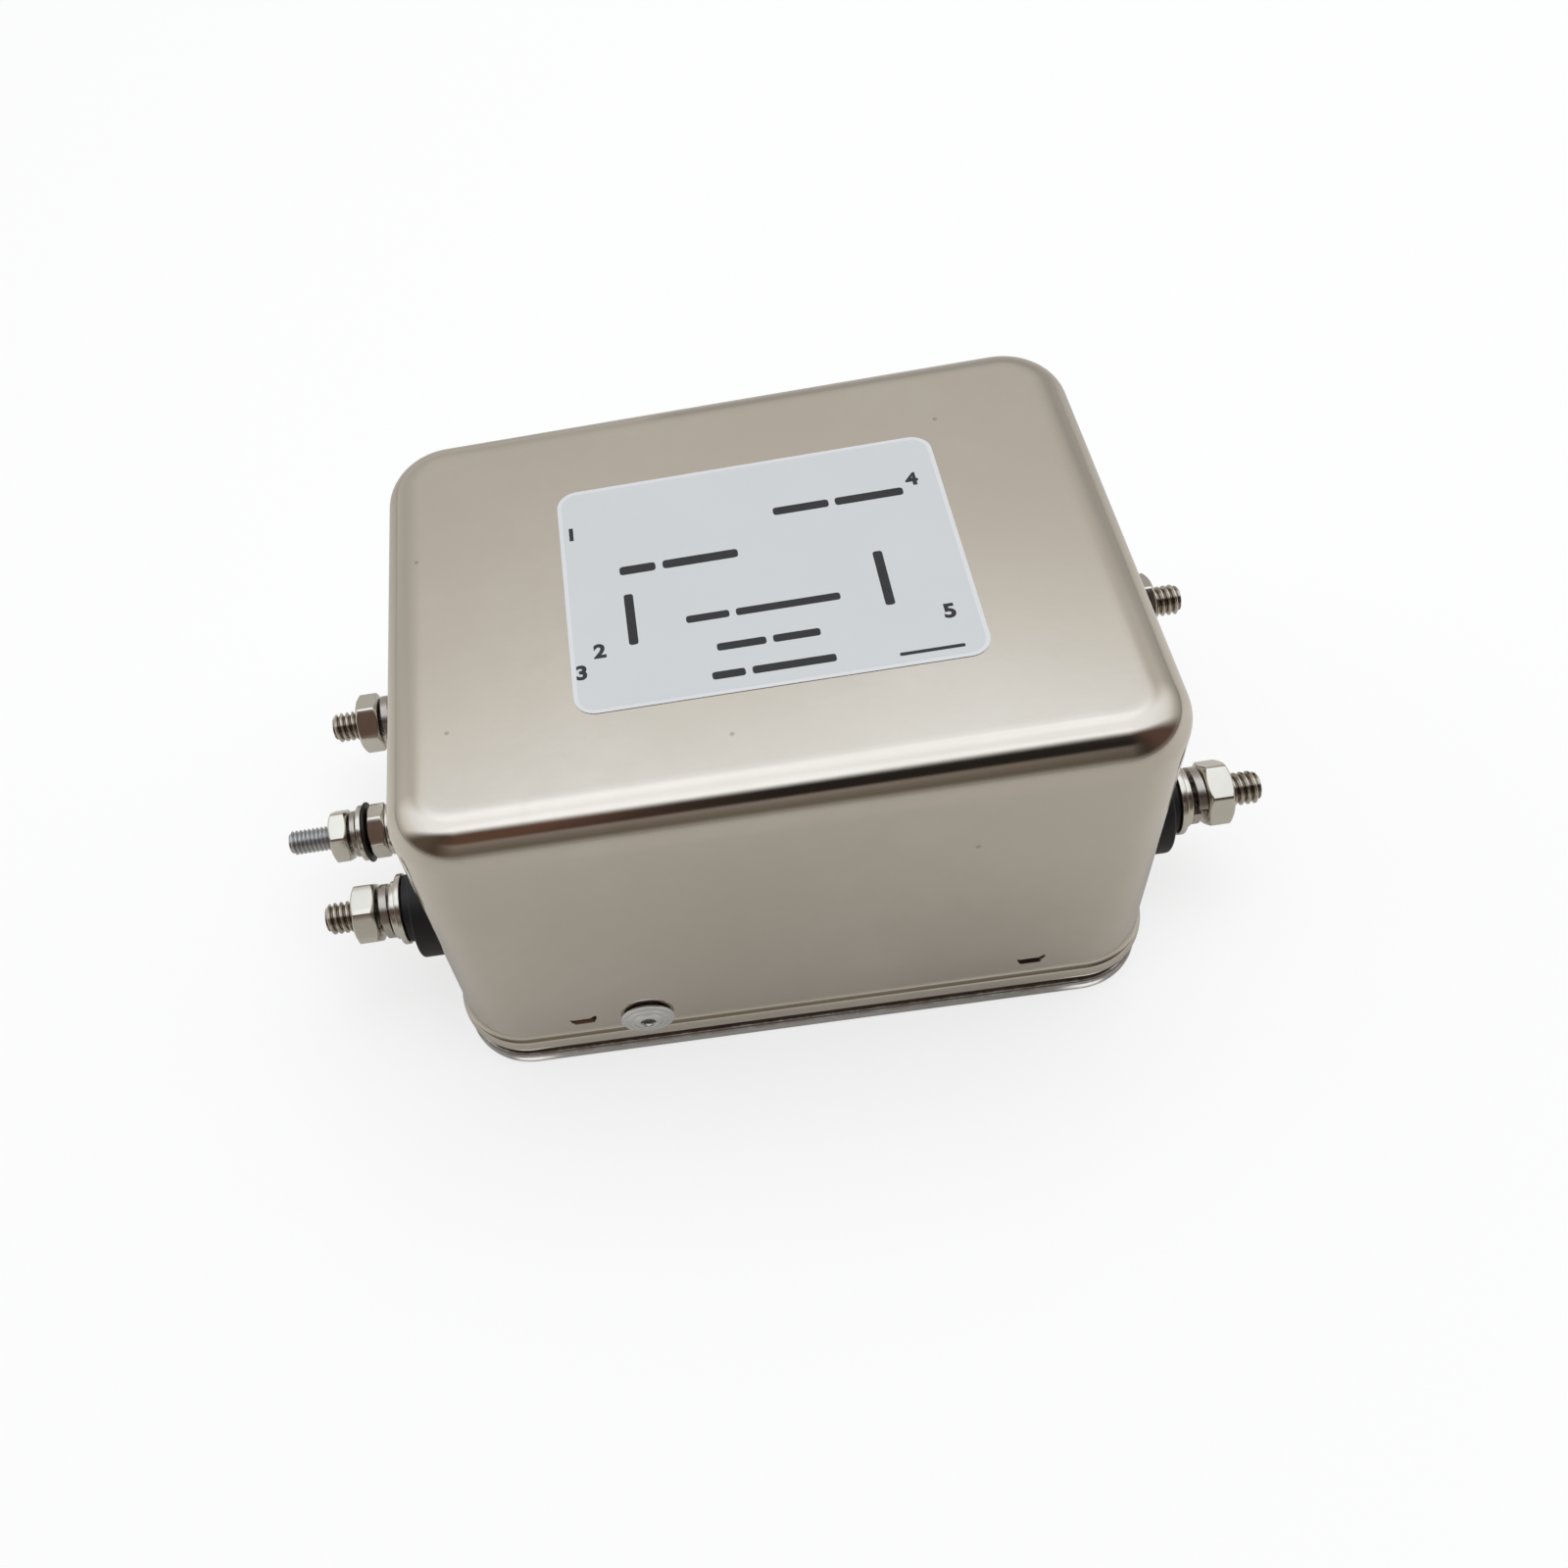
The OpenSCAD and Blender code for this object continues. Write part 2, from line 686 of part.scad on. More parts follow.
module spring_washers() {
    color(steel) on_every_terminal()
        translate([0, 0, spring_s]) split_washer(spring_r, stud_r + hole_gap, spring_t, spring_rise);
}

// How far each nut has been turned by the wrench
nut_turns = [50, 28, 10, 46];

module terminal_nuts() {
    color(bright) for (i = [0:3]) on_terminal(TERMINALS[i][0], TERMINALS[i][1])
        translate([0, 0, nut_s]) hex_nut(nut_flats, nut_h, stud_r, nut_turns[i]);
}

module inner_washers() {
    color(bright) on_every_terminal()
        translate([0, 0, -washer_in]) washer(washer_r, stud_r + hole_gap, washer_t);
}

module inner_nuts() {
    color(bright) for (i = [0:3]) on_terminal(TERMINALS[i][0], TERMINALS[i][1])
        translate([0, 0, -nut_in]) hex_nut(nut_flats, nut_h, stud_r, nut_turns[3 - i]);
}

module lock_nuts() {
    color(bright) for (i = [0:3]) on_terminal(TERMINALS[i][0], TERMINALS[i][1])
        translate([0, 0, -tag_in - lock_nut_h]) hex_nut(nut_flats, lock_nut_h, stud_r, nut_turns[i]);
}

module solder_tags() {
    color(bright) for (t = TERMINALS) on_terminal(t[0], t[1])
        translate([0, 0, -tag_in]) rotate(t[0] > 0 ? 0 : 180)
            solder_tag(tag_ring_r, stud_r + hole_gap, terminal_z - board_top);
}

// ---------- Earth stud ----------

module stud_earth() {
    color(bright) on_earth() stud(earth_r, earth_out, stud_in, earth_nut_end_s);
}

module earth_spacer() {
    color(bright) on_earth() washer(spacer_r, earth_r + hole_gap, spacer_l);
}

module earth_clamp_nut() {
    color(bright) on_earth() translate([0, 0, spacer_l]) hex_nut(earth_flats, earth_nut_h, earth_r, 54);
}

// Thin washer with teeth cut round its edge
module earth_lock_washer() {
    notch = 0.5;
    color(black) on_earth() translate([0, 0, lock_washer_s]) difference() {
        washer(lock_washer_r, earth_r + hole_gap, lock_washer_t);
        for (i = [0:lock_teeth - 1]) rotate(360 * i / lock_teeth) translate([lock_washer_r, 0, 0])
            cube([2 * notch, notch, 3 * lock_washer_t], center = true);
    }
}

module earth_flat_washer() {
    color(bright) on_earth() translate([0, 0, earth_washer_s])
        washer(earth_washer_r, earth_r + hole_gap, earth_washer_t);
}

module earth_spring_washer() {
    color(steel) on_earth() translate([0, 0, earth_spring_s])
        split_washer(earth_spring_r, earth_r + hole_gap, earth_spring_t, earth_spring_rise);
}

module earth_nut() {
    color(bright) on_earth() translate([0, 0, earth_nut_s]) hex_nut(earth_flats, earth_nut_h, earth_r, 18);
}

module earth_inner_nut() {
    color(bright) on_earth() translate([0, 0, -nut_in]) hex_nut(earth_flats, nut_in - case_wall, earth_r, 10);
}

module earth_solder_tag() {
    color(bright) on_earth() translate([0, 0, -tag_in]) rotate(180)
        solder_tag(tag_ring_r, earth_r + hole_gap, terminal_z - board_top);
}

module earth_lock_nut() {
    color(bright) on_earth() translate([0, 0, -tag_in - lock_nut_h])
        hex_nut(earth_flats, lock_nut_h, earth_r, 20);
}

base_pan();
clinch_nuts();
board_pillars();
circuit_board();
board_screws();
choke_saddle();
choke_core();
choke_divider();
choke_winding(1);  // choke_winding_live
choke_winding(-1);  // choke_winding_neutral
x_capacitor(LINE);  // x_capacitor_line
x_capacitor(LOAD);  // x_capacitor_load
y_capacitor(LIVE);  // y_capacitor_live
y_capacitor(NEUTRAL);  // y_capacitor_neutral
bleed_resistor();
case_can();
case_rivets();
rating_label();
insulator(LINE, LIVE);  // insulator_line_live
insulator(LINE, NEUTRAL);  // insulator_line_neutral
insulator(LOAD, LIVE);  // insulator_load_live
insulator(LOAD, NEUTRAL);  // insulator_load_neutral
collar(LINE, LIVE);  // collar_line_live
collar(LINE, NEUTRAL);  // collar_line_neutral
collar(LOAD, LIVE);  // collar_load_live
collar(LOAD, NEUTRAL);  // collar_load_neutral
terminal_stud(LINE, LIVE);  // stud_line_live
terminal_stud(LINE, NEUTRAL);  // stud_line_neutral
terminal_stud(LOAD, LIVE);  // stud_load_live
terminal_stud(LOAD, NEUTRAL);  // stud_load_neutral
large_washers();
flat_washers();
spring_washers();
terminal_nuts();
inner_washers();
inner_nuts();
solder_tags();
lock_nuts();
stud_earth();
earth_spacer();
earth_clamp_nut();
earth_lock_washer();
earth_flat_washer();
earth_spring_washer();
earth_nut();
earth_inner_nut();
earth_solder_tag();
earth_lock_nut();
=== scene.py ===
import math

import bmesh
import bpy
from mathutils import Matrix, Vector


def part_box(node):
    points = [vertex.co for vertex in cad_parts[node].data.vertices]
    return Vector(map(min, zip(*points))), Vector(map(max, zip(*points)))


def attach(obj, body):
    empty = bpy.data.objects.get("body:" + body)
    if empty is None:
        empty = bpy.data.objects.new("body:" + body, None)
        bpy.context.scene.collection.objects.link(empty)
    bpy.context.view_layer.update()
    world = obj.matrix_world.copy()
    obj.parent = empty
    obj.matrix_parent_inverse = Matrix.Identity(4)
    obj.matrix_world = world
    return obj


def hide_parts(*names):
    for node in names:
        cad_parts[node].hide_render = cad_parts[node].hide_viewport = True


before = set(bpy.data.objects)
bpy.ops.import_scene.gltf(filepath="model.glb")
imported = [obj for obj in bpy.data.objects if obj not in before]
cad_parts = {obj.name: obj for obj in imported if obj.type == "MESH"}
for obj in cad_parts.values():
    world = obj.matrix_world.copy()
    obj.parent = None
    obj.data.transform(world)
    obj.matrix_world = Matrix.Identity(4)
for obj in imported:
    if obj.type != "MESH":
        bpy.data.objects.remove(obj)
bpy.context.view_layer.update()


# ---- Base ----
# A blanked steel plate, zinc plated, with two upturned flanges that the case is riveted and staked to.
# Four clinch nuts are pressed into it for the screws that come up through the chassis.

class Wire:
    """One socket of a shader, which can be used in Python expressions."""

    def __init__(self, tree, socket=None):
        self.tree = tree
        self.socket = socket

    def add(self, kind, settings=None, inputs=None, out=0):
        """Adds a node: first its settings or a ramp's stops, then the values or wires of its sockets."""
        made = self.tree.nodes.new("ShaderNode" + kind)
        for name, value in (settings or {}).items():
            if name == "stops":
                marks = made.color_ramp.elements
                while len(marks) < len(value):
                    marks.new(1.0)
                for mark, (place, colour) in zip(marks, value):
                    if not isinstance(colour, tuple):
                        colour = (colour, colour, colour)
                    mark.position = place
                    mark.color = (*colour, 1.0)
            else:
                setattr(made, name, value)
        for name, value in (inputs or {}).items():
            if isinstance(value, Wire):
                self.tree.links.new(value.socket, made.inputs[name])
            else:
                made.inputs[name].default_value = value
        return Wire(self.tree, made.outputs[out])

    def math(self, operation, *values):
        return self.add("Math", {"operation": operation}, dict(enumerate(values)))

    def __add__(self, other):
        return self.math("ADD", self, other)

    def __radd__(self, other):
        return self.math("ADD", other, self)

    def __sub__(self, other):
        return self.math("SUBTRACT", self, other)

    def __rsub__(self, other):
        return self.math("SUBTRACT", other, self)

    def __mul__(self, other):
        return self.math("MULTIPLY", self, other)

    def __rmul__(self, other):
        return self.math("MULTIPLY", other, self)

    def __truediv__(self, other):
        return self.math("DIVIDE", self, other)

    def __neg__(self):
        return self.math("MULTIPLY", self, -1.0)

    def __abs__(self):
        return self.math("ABSOLUTE", self)

    def __pow__(self, power):
        return self.math("POWER", self, power)

    def ease(self, low, high, start=0.0, end=1.0):
        """Runs smoothly from start to end while this value runs from low to high."""
        return self.add("MapRange", {"interpolation_type": "SMOOTHSTEP"}, {
            "Value": self, "From Min": low, "From Max": high, "To Min": start, "To Max": end})

    def tint(self, low, high):
        """Mixes two colours by this value."""
        as_colour = [c if isinstance(c, Wire) else (*c, 1.0) for c in (low, high)]
        return self.add("Mix", {"data_type": "RGBA"}, {0: self, 6: as_colour[0], 7: as_colour[1]}, out=2)

    def grain(self, scale, detail=2.0, roughness=0.5):
        """Cloudy noise over the object, with scale in features per metre."""
        where = self.add("TexCoord", out="Object")
        return self.add("TexNoise", {}, {"Vector": where, "Scale": scale, "Detail": detail,
                                         "Roughness": roughness})

    def raised(self, strength, depth):
        """Uses this value as a height and gives the bent normal."""
        return self.add("Bump", {}, {"Strength": strength, "Distance": depth, "Height": self})

    def into(self, shader, socket):
        self.tree.links.new(self.socket, shader.inputs[socket])


def finish(name, **even):
    """A material whose even values sit on the shader's own sockets."""
    material = bpy.data.materials.new(name)
    material.use_nodes = True
    shader = material.node_tree.nodes["Principled BSDF"]
    for socket, value in even.items():
        shader.inputs[socket.replace("_", " ")].default_value = value
    return material, shader, Wire(material.node_tree)


def plated(name, colour, shade, roughness, spread, grain_scale, grain_depth):
    """Plated metal: patchy tone, uneven gloss and a fine grain."""
    material, shader, start = finish(name, Metallic=1.0)
    patches = start.grain(70.0, 3.0).ease(0.3, 0.7)
    fine = start.grain(grain_scale, 3.0, 0.6)
    patches.tint(shade, colour).into(shader, "Base Color")
    (roughness - spread + 2 * spread * start.grain(260.0, 4.0, 0.65)).into(shader, "Roughness")
    fine.raised(0.4, grain_depth).into(shader, "Normal")
    return material


def recolour(material, *nodes):
    """Gives a finish to CAD pieces whose shape is already right."""
    for node in nodes:
        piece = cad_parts[node]
        piece.data.materials.clear()
        piece.data.materials.append(material)


base_zinc = plated("base_zinc", (0.60, 0.59, 0.57), (0.50, 0.49, 0.475), 0.34, 0.07, 1500.0, 0.00002)
fastener_nickel = plated("fastener_nickel", (0.70, 0.66, 0.61), (0.62, 0.58, 0.53), 0.24, 0.05, 1800.0,
                         0.00001)
recolour(base_zinc, "base_pan")
recolour(fastener_nickel, "clinch_nuts", "board_pillars", "board_screws")

# ---- Circuit board ----
# Glass and epoxy laminate under green solder mask, screwed to four pillars that stand on the base.

board_green, board_shader, start = finish("board_green", Roughness=0.35, Coat_Weight=0.4)
start.grain(400.0, 4.0).tint((0.015, 0.12, 0.05), (0.03, 0.20, 0.08)).into(board_shader, "Base Color")
start.grain(2500.0, 2.0).raised(0.3, 0.00002).into(board_shader, "Normal")
recolour(board_green, "circuit_board")

# ---- Choke ----
# A toroidal core in green-grey epoxy with two copper windings, a divider between them and a moulded saddle.

core_epoxy, core_shader, start = finish("core_epoxy", Roughness=0.55)
start.grain(500.0, 4.0).tint((0.05, 0.075, 0.06), (0.08, 0.11, 0.09)).into(core_shader, "Base Color")
start.grain(900.0, 3.0).raised(0.5, 0.00006).into(core_shader, "Normal")

wire_enamel, wire_shader, start = finish("wire_enamel", Metallic=1.0, Roughness=0.28, Coat_Weight=0.6)
start.grain(300.0, 3.0).tint((0.62, 0.25, 0.10), (0.78, 0.38, 0.18)).into(wire_shader, "Base Color")

divider_board, divider_shader, start = finish("divider_board", Roughness=0.7)
start.grain(1200.0, 3.0).tint((0.60, 0.56, 0.44), (0.70, 0.66, 0.54)).into(divider_shader, "Base Color")

recolour(core_epoxy, "choke_core")
recolour(wire_enamel, "choke_winding_live", "choke_winding_neutral")
recolour(divider_board, "choke_divider")

# ---- Capacitors and resistor ----
# Film capacitors in yellow moulded boxes, safety capacitors in blue ones, and a lacquered resistor.

def boxed(name, low, high):
    """Glossy moulded case of a capacitor or the lacquer of a resistor."""
    material, shader, start = finish(name, Roughness=0.32)
    start.grain(250.0, 4.0).tint(low, high).into(shader, "Base Color")
    start.grain(2200.0, 2.0).raised(0.3, 0.00002).into(shader, "Normal")
    return material


recolour(boxed("film_yellow", (0.60, 0.40, 0.03), (0.72, 0.50, 0.05)), "x_capacitor_line", "x_capacitor_load")
recolour(boxed("safety_blue", (0.03, 0.12, 0.36), (0.05, 0.17, 0.45)), "y_capacitor_live",
         "y_capacitor_neutral", "bleed_resistor")

# ---- Case ----
# One deep-drawn steel can, nickel plated to a warm satin. Its mouth is curled into a bead over the base,
# and its front and back walls are staked into the flanges.

def mesh_piece(name, build, material, slot, *nodes, crease=35.0):
    """Puts a built mesh in the scene as a piece that stands for CAD nodes."""
    mesh = bpy.data.meshes.new(name)
    build.to_mesh(mesh)
    build.free()
    mesh.shade_smooth()
    mesh.set_sharp_from_angle(angle=math.radians(crease))
    mesh.materials.append(material)
    piece = bpy.data.objects.new(name, mesh)
    bpy.context.scene.collection.objects.link(piece)
    even = piece.modifiers.new("flats stay flat", "WEIGHTED_NORMAL")
    even.keep_sharp = True
    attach(piece, "root")
    if nodes:
        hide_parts(*nodes)
    return piece


def skin(build, rings, around=True):
    """Joins rings of equally many points with quads."""
    rows = [[build.verts.new(p) for p in ring] for ring in rings]
    count = len(rows[0])
    for low, high in zip(rows, rows[1:]):
        for i in range(count if around else count - 1):
            j = (i + 1) % count
            build.faces.new((low[i], low[j], high[j], high[i]))
    return rows


MM = 0.001


def corners(node):
    """The lowest and highest corners of a CAD piece, in mm."""
    return [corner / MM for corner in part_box(node)]


# The earth spacer seats on the end wall, and the bead stands equally proud of all four walls.
case_low, case_high = corners("case_can")
END_WALL = round(-corners("earth_spacer")[1].x, 2)
FRONT_WALL = round(case_high.y - (case_high.x - END_WALL), 2)
CASE_H, MOUTH_Z = case_high.z, case_low.z
CASE_SHEET = 0.8
CASE_CORNER = 10.0
CASE_SHOULDER = 6.0
SHOULDER_STEPS = 16

# The bead: its widest place and its radius there, the lean in degrees that it starts at, and its bends.
# Each bend has the lean where it ends, its radius, which is negative where it is hollow, and its steps.
BEAD_Z, BEAD_OUT, BEAD_R = 5.0, 0.78, 2.2
BEAD_START = -62.0
BEAD_BENDS = ((0.0, BEAD_R, 9), (5.0, 13.5, 2), (26.0, 1.0, 4), (44.0, 0.9, 4), (38.0, -1.0, 2),
              (37.0, -15.0, 1))
HOLLOW_STEPS = 6
WALL_LEVELS = (9.0, 12.0, 15.0, 18.0, 24.0, 30.0, 36.0, 42.0, 48.0, 52.0)

# A stake's middle, and its outline around that middle.
STAKE_X, STAKE_Z = 33.5, 10.5
STAKE_OUTLINE = ((-1.4, 0.5), (1.3, 0.5), (1.8, 0.95), (2.3, 1.15), (2.25, 0.2), (1.75, -0.95), (-1.2, -0.95),
                 (-1.6, -0.2), (-1.85, 0.75))


def case_ring(out, z):
    """The case's outline, moved out of its walls by a distance, at one height."""
    half_l, half_w = END_WALL + out, FRONT_WALL + out
    radius = CASE_CORNER + out
    straight, bend = 11, 20
    points = []
    for turn in range(4):
        across, along = (half_l, half_w) if turn % 2 == 0 else (half_w, half_l)
        for step in range(straight):
            points.append((across, (along - radius) * (2 * step / straight - 1.0), turn))
        for step in range(bend):
            a = math.radians(90.0 * step / bend)
            points.append((across - radius + radius * math.cos(a),
                           along - radius + radius * math.sin(a), turn))
    ring = []
    for x, y, turn in points:
        for _ in range(turn):
            x, y = -y, x
        ring.append((x * MM, y * MM, z * MM))
    return ring


def case_profile():
    """Distance out of the wall and height, from the mouth up to the edge of the flat top."""
    line = [(-0.5, MOUTH_Z), (-0.5, MOUTH_Z + 0.7)]
    lean = BEAD_START
    out = BEAD_OUT - BEAD_R * (1.0 - math.cos(math.radians(lean)))
    z = BEAD_Z + BEAD_R * math.sin(math.radians(lean))
    line.append((out, z))
    for until, radius, steps in BEAD_BENDS:
        turn = (until - lean) / steps
        for _ in range(steps):
            out += radius * (math.cos(math.radians(lean + turn)) - math.cos(math.radians(lean)))
            z += radius * (math.sin(math.radians(lean + turn)) - math.sin(math.radians(lean)))
            lean += turn
            line.append((out, z))
    hollow = out / (1.0 - math.cos(math.radians(lean)))
    top = z + hollow * math.sin(math.radians(lean))
    for step in range(1, HOLLOW_STEPS + 1):
        a = math.radians(lean * (1.0 - step / HOLLOW_STEPS))
        line.append((hollow * (1.0 - math.cos(a)), top - hollow * math.sin(a)))
    line += [(0.0, level) for level in WALL_LEVELS]
    for step in range(SHOULDER_STEPS + 1):
        a = math.radians(90.0 * step / SHOULDER_STEPS)
        line.append((CASE_SHOULDER * (math.cos(a) - 1.0), CASE_H - CASE_SHOULDER * (1.0 - math.sin(a))))
    line.append((-CASE_SHOULDER - 0.8, CASE_H))
    return line


def stake_mark(build, side, x):
    """A cutter for one stake: a stroke with both ends turned up, which bites deepest along its upper edge."""
    rings = []
    for out, lift, shrink in ((0.3, 0.0, 1.0), (0.0, 0.0, 1.0), (-0.66, 0.4, 0.9)):
        ring = []
        for u, v in STAKE_OUTLINE:
            height = STAKE_Z + v + (lift if v < 0.3 else 0.0)
            ring.append(Vector((x - side * u * shrink, side * (FRONT_WALL + out), height)) * MM)
        rings.append(ring)
    rows = skin(build, rings)
    build.faces.new(rows[0])
    build.faces.new(list(reversed(rows[-1])))


def carved(build, cutter):
    """Cuts one closed shape out of another and gives back what is left."""
    pieces = []
    for shape in (build, cutter):
        bmesh.ops.recalc_face_normals(shape, faces=shape.faces)
        mesh = bpy.data.meshes.new("rough")
        shape.to_mesh(mesh)
        shape.free()
        pieces.append(bpy.data.objects.new("rough", mesh))
        bpy.context.scene.collection.objects.link(pieces[-1])
    cut = pieces[0].modifiers.new("cut", "BOOLEAN")
    cut.operation = "DIFFERENCE"
    cut.solver = "EXACT"
    cut.use_self = True
    cut.object = pieces[1]
    left = bmesh.new()
    left.from_mesh(pieces[0].evaluated_get(bpy.context.evaluated_depsgraph_get()).data)
    for piece in pieces:
        mesh = piece.data
        bpy.data.objects.remove(piece)
        bpy.data.meshes.remove(mesh)
    return left


def built_case():
    """The whole can: its outer skin, its inner one and the four stakes."""
    build = bmesh.new()
    outside = case_profile()
    inside = [(-CASE_SHEET, MOUTH_Z), (-CASE_SHEET, CASE_H - CASE_SHOULDER)]
    radius, steps = CASE_SHOULDER - CASE_SHEET, SHOULDER_STEPS // 2
    for step in range(1, steps + 1):
        a = math.radians(90.0 * step / steps)
        inside.append((radius * math.cos(a) - CASE_SHOULDER, CASE_H - CASE_SHOULDER + radius * math.sin(a)))
    rows = skin(build, [case_ring(out, z) for out, z in inside[::-1] + outside])
    build.faces.new(rows[-1])
    build.faces.new(list(reversed(rows[0])))
    marks = bmesh.new()
    for side in (-1, 1):
        for x in (-STAKE_X, STAKE_X):
            stake_mark(marks, side, x)
    return carved(build, marks)


case_nickel, case_shader, start = finish("case_nickel", Metallic=1.0)
where = start.add("TexCoord", out="Object")
height = start.add("SeparateXYZ", {}, {0: where}, out=2)
clouds = start.grain(28.0, 3.0, 0.55).ease(0.35, 0.7)
mottle = start.grain(190.0, 4.0, 0.65).ease(0.3, 0.7)
stains = start.grain(55.0, 5.0, 0.6).ease(0.60, 0.78)
# Painted shade: the can turns dark brown below the bead's widest place, where its lip curls under toward the
# base. The same mask also makes it rougher there.
under_bead_shade = height.ease(4.1 * MM, 3.1 * MM)
tone = clouds.tint((0.692, 0.642, 0.572), (0.726, 0.680, 0.614))
tone = (mottle * 0.5).tint(tone, (0.676, 0.628, 0.556))
tone = (stains * 0.30).tint(tone, (0.60, 0.55, 0.48))

# Specks of dirt, and the shade inside the stakes.
for speck in ((-42.5, -20.4, CASE_H), (-5.5, -27.6, CASE_H), (31.0, 24.0, CASE_H), (-46.5, 12.0, CASE_H),
              (24.0, -FRONT_WALL, 44.0)):
    far = start.add("VectorMath", {"operation": "DISTANCE"}, {0: where, 1: Vector(speck) * MM}, out=1)
    tone = far.ease(0.1 * MM, 0.5 * MM, 0.55, 0.0).tint(tone, (0.30, 0.26, 0.22))
mirrored_where = start.add("VectorMath", {"operation": "ABSOLUTE"}, {0: where})
off_stake = start.add("VectorMath", {"operation": "DISTANCE"}, {
    0: mirrored_where, 1: Vector((STAKE_X, FRONT_WALL, STAKE_Z)) * MM}, out=1)
off_middle = start.add("SeparateXYZ", {}, {0: mirrored_where}, out=1)
sunk = off_middle.ease((FRONT_WALL - 0.07) * MM, (FRONT_WALL - 0.3) * MM) * off_stake.ease(4.0 * MM, 3.4 * MM)
tone = (sunk * 0.6).tint(tone, (0.12, 0.09, 0.065))
# Last, the painted shade under the bead goes over the tone.
(under_bead_shade * 0.6).tint(tone, (0.13, 0.085, 0.065)).into(case_shader, "Base Color")
(0.075 + 0.03 * mottle + 0.04 * stains + 0.2 * under_bead_shade).into(case_shader, "Roughness")
ripple = start.grain(26.0, 2.0) + 0.04 * start.grain(900.0, 3.0, 0.6)
ripple.raised(1.0, 0.00006).into(case_shader, "Normal")
mesh_piece("case_shell", built_case(), case_nickel, "nickel_case", "case_can")

# ---- Edge of the base ----
# The punch has rolled the upper edge of the base over. Painted shade, broken up by noise, darkens that upper
# edge where it lies under the can's lip.

def tidy_mesh(build):
    """Joins points that lie on each other and turns all faces outward."""
    bmesh.ops.remove_doubles(build, verts=build.verts, dist=0.0000005)
    bmesh.ops.dissolve_degenerate(build, edges=build.edges, dist=0.0000005)
    bmesh.ops.recalc_face_normals(build, faces=build.faces)
    return build


# How far the edge stands out of the wall, and its height.
RIM = ((-0.1, 2.02), (0.1, 2.1), (0.22, 2.07), (0.37, 1.98), (0.49, 1.86), (0.57, 1.7), (0.6, 1.5),
       (0.6, 0.25), (0.58, 0.1), (0.5, 0.03), (0.3, 0.02))
rings = [case_ring(out, z) for out, z in RIM]
build = bmesh.new()
skin(build, rings + [rings[0]])
sheared_zinc, shear_shader, start = finish("sheared_zinc", Metallic=1.0)
height = start.add("SeparateXYZ", {}, {0: start.add("TexCoord", out="Object")}, out=2)
# Painted shade under the can's lip: above 1.2 mm the edge turns dark brown in patches.
lip_shade = height.ease(1.2 * MM, 1.9 * MM) * start.grain(420.0, 4.0, 0.7).ease(0.3, 0.62)
tone = start.grain(260.0, 3.0).tint((0.60, 0.60, 0.585), (0.78, 0.78, 0.765))
(0.75 * lip_shade).tint(tone, (0.26, 0.16, 0.12)).into(shear_shader, "Base Color")
(0.22 + 0.2 * start.grain(900.0, 3.0)).into(shear_shader, "Roughness")
start.grain(520.0, 4.0, 0.7).raised(0.6, 0.00006).into(shear_shader, "Normal")
mesh_piece("base_edge", tidy_mesh(build), sheared_zinc, "base_steel", crease=60.0)

# ---- Label ----
# A coated paper label with rounded corners on the top, printed in black.

label_low, label_high = corners("rating_label")
LABEL_L, LABEL_W = (label_high - label_low).xy
LABEL_X = (label_low.x + label_high.x) / 2
LABEL_R = 3.0
WHITE_MARGIN = 0.6
FIELD_Z = label_high.z - 0.01
INK_T = 0.008
DIGIT_H = 3.3

# Bars in the place of the printed lines: each row's place and height, then where its bars start and end.
BAR_ROWS = ((3.6, 1.6, ((-17.3, -12.2), (-11.2, -0.6))), (-7.3, 1.3, ((-9.1, -3.2), (-2.3, 11.8))),
            (-13.0, 1.3, ((-5.6, 1.0), (1.9, 8.2))), (-17.8, 1.3, ((-6.8, -2.4), (-1.5, 9.5))),
            (10.4, 1.5, ((5.3, 13.2), (14.1, 23.7))), (-19.0, 0.55, ((17.5, 25.9),)))
UPRIGHT_BARS = ((-16.5, -5.6, 9.3), (18.0, -5.3, 10.0))
UPRIGHT_W = 1.3
NUMBERS = (("1", -23.6, 12.2), ("2", -21.2, -10.6), ("3", -23.9, -13.9), ("4", 25.3, 12.3),
           ("5", 25.2, -13.0))


def flat_plate(build, outline, low, high):
    """A flat plate with the given outline between two heights, all in mm."""
    rows = [[build.verts.new((x * MM, y * MM, z * MM)) for x, y in outline] for z in (low, high)]
    count = len(outline)
    for i in range(count):
        j = (i + 1) % count
        build.faces.new((rows[0][i], rows[0][j], rows[1][j], rows[1][i]))
    build.faces.new(rows[1])
    build.faces.new(list(reversed(rows[0])))


def round_corners(x, y, length, width, radius, steps=8):
    """The outline of a rectangle with round corners about a middle point."""
    outline = []
    for turn, (sx, sy) in enumerate(((1, 1), (-1, 1), (-1, -1), (1, -1))):
        for step in range(steps + 1):
            a = math.radians(90.0 * (turn + step / steps))
            outline.append((x + sx * (length / 2 - radius) + radius * math.cos(a),
                            y + sy * (width / 2 - radius) + radius * math.sin(a)))
    return outline


def paper(name, low, high):
    """Coated paper: matt, slightly cloudy, with a thin sheen."""
    material, shader, start = finish(name, Roughness=0.42, Coat_Weight=0.15, Coat_Roughness=0.3)
    start.grain(60.0, 3.0).tint(low, high).into(shader, "Base Color")
    start.grain(1800.0, 3.0).raised(0.3, 0.00001).into(shader, "Normal")
    return material


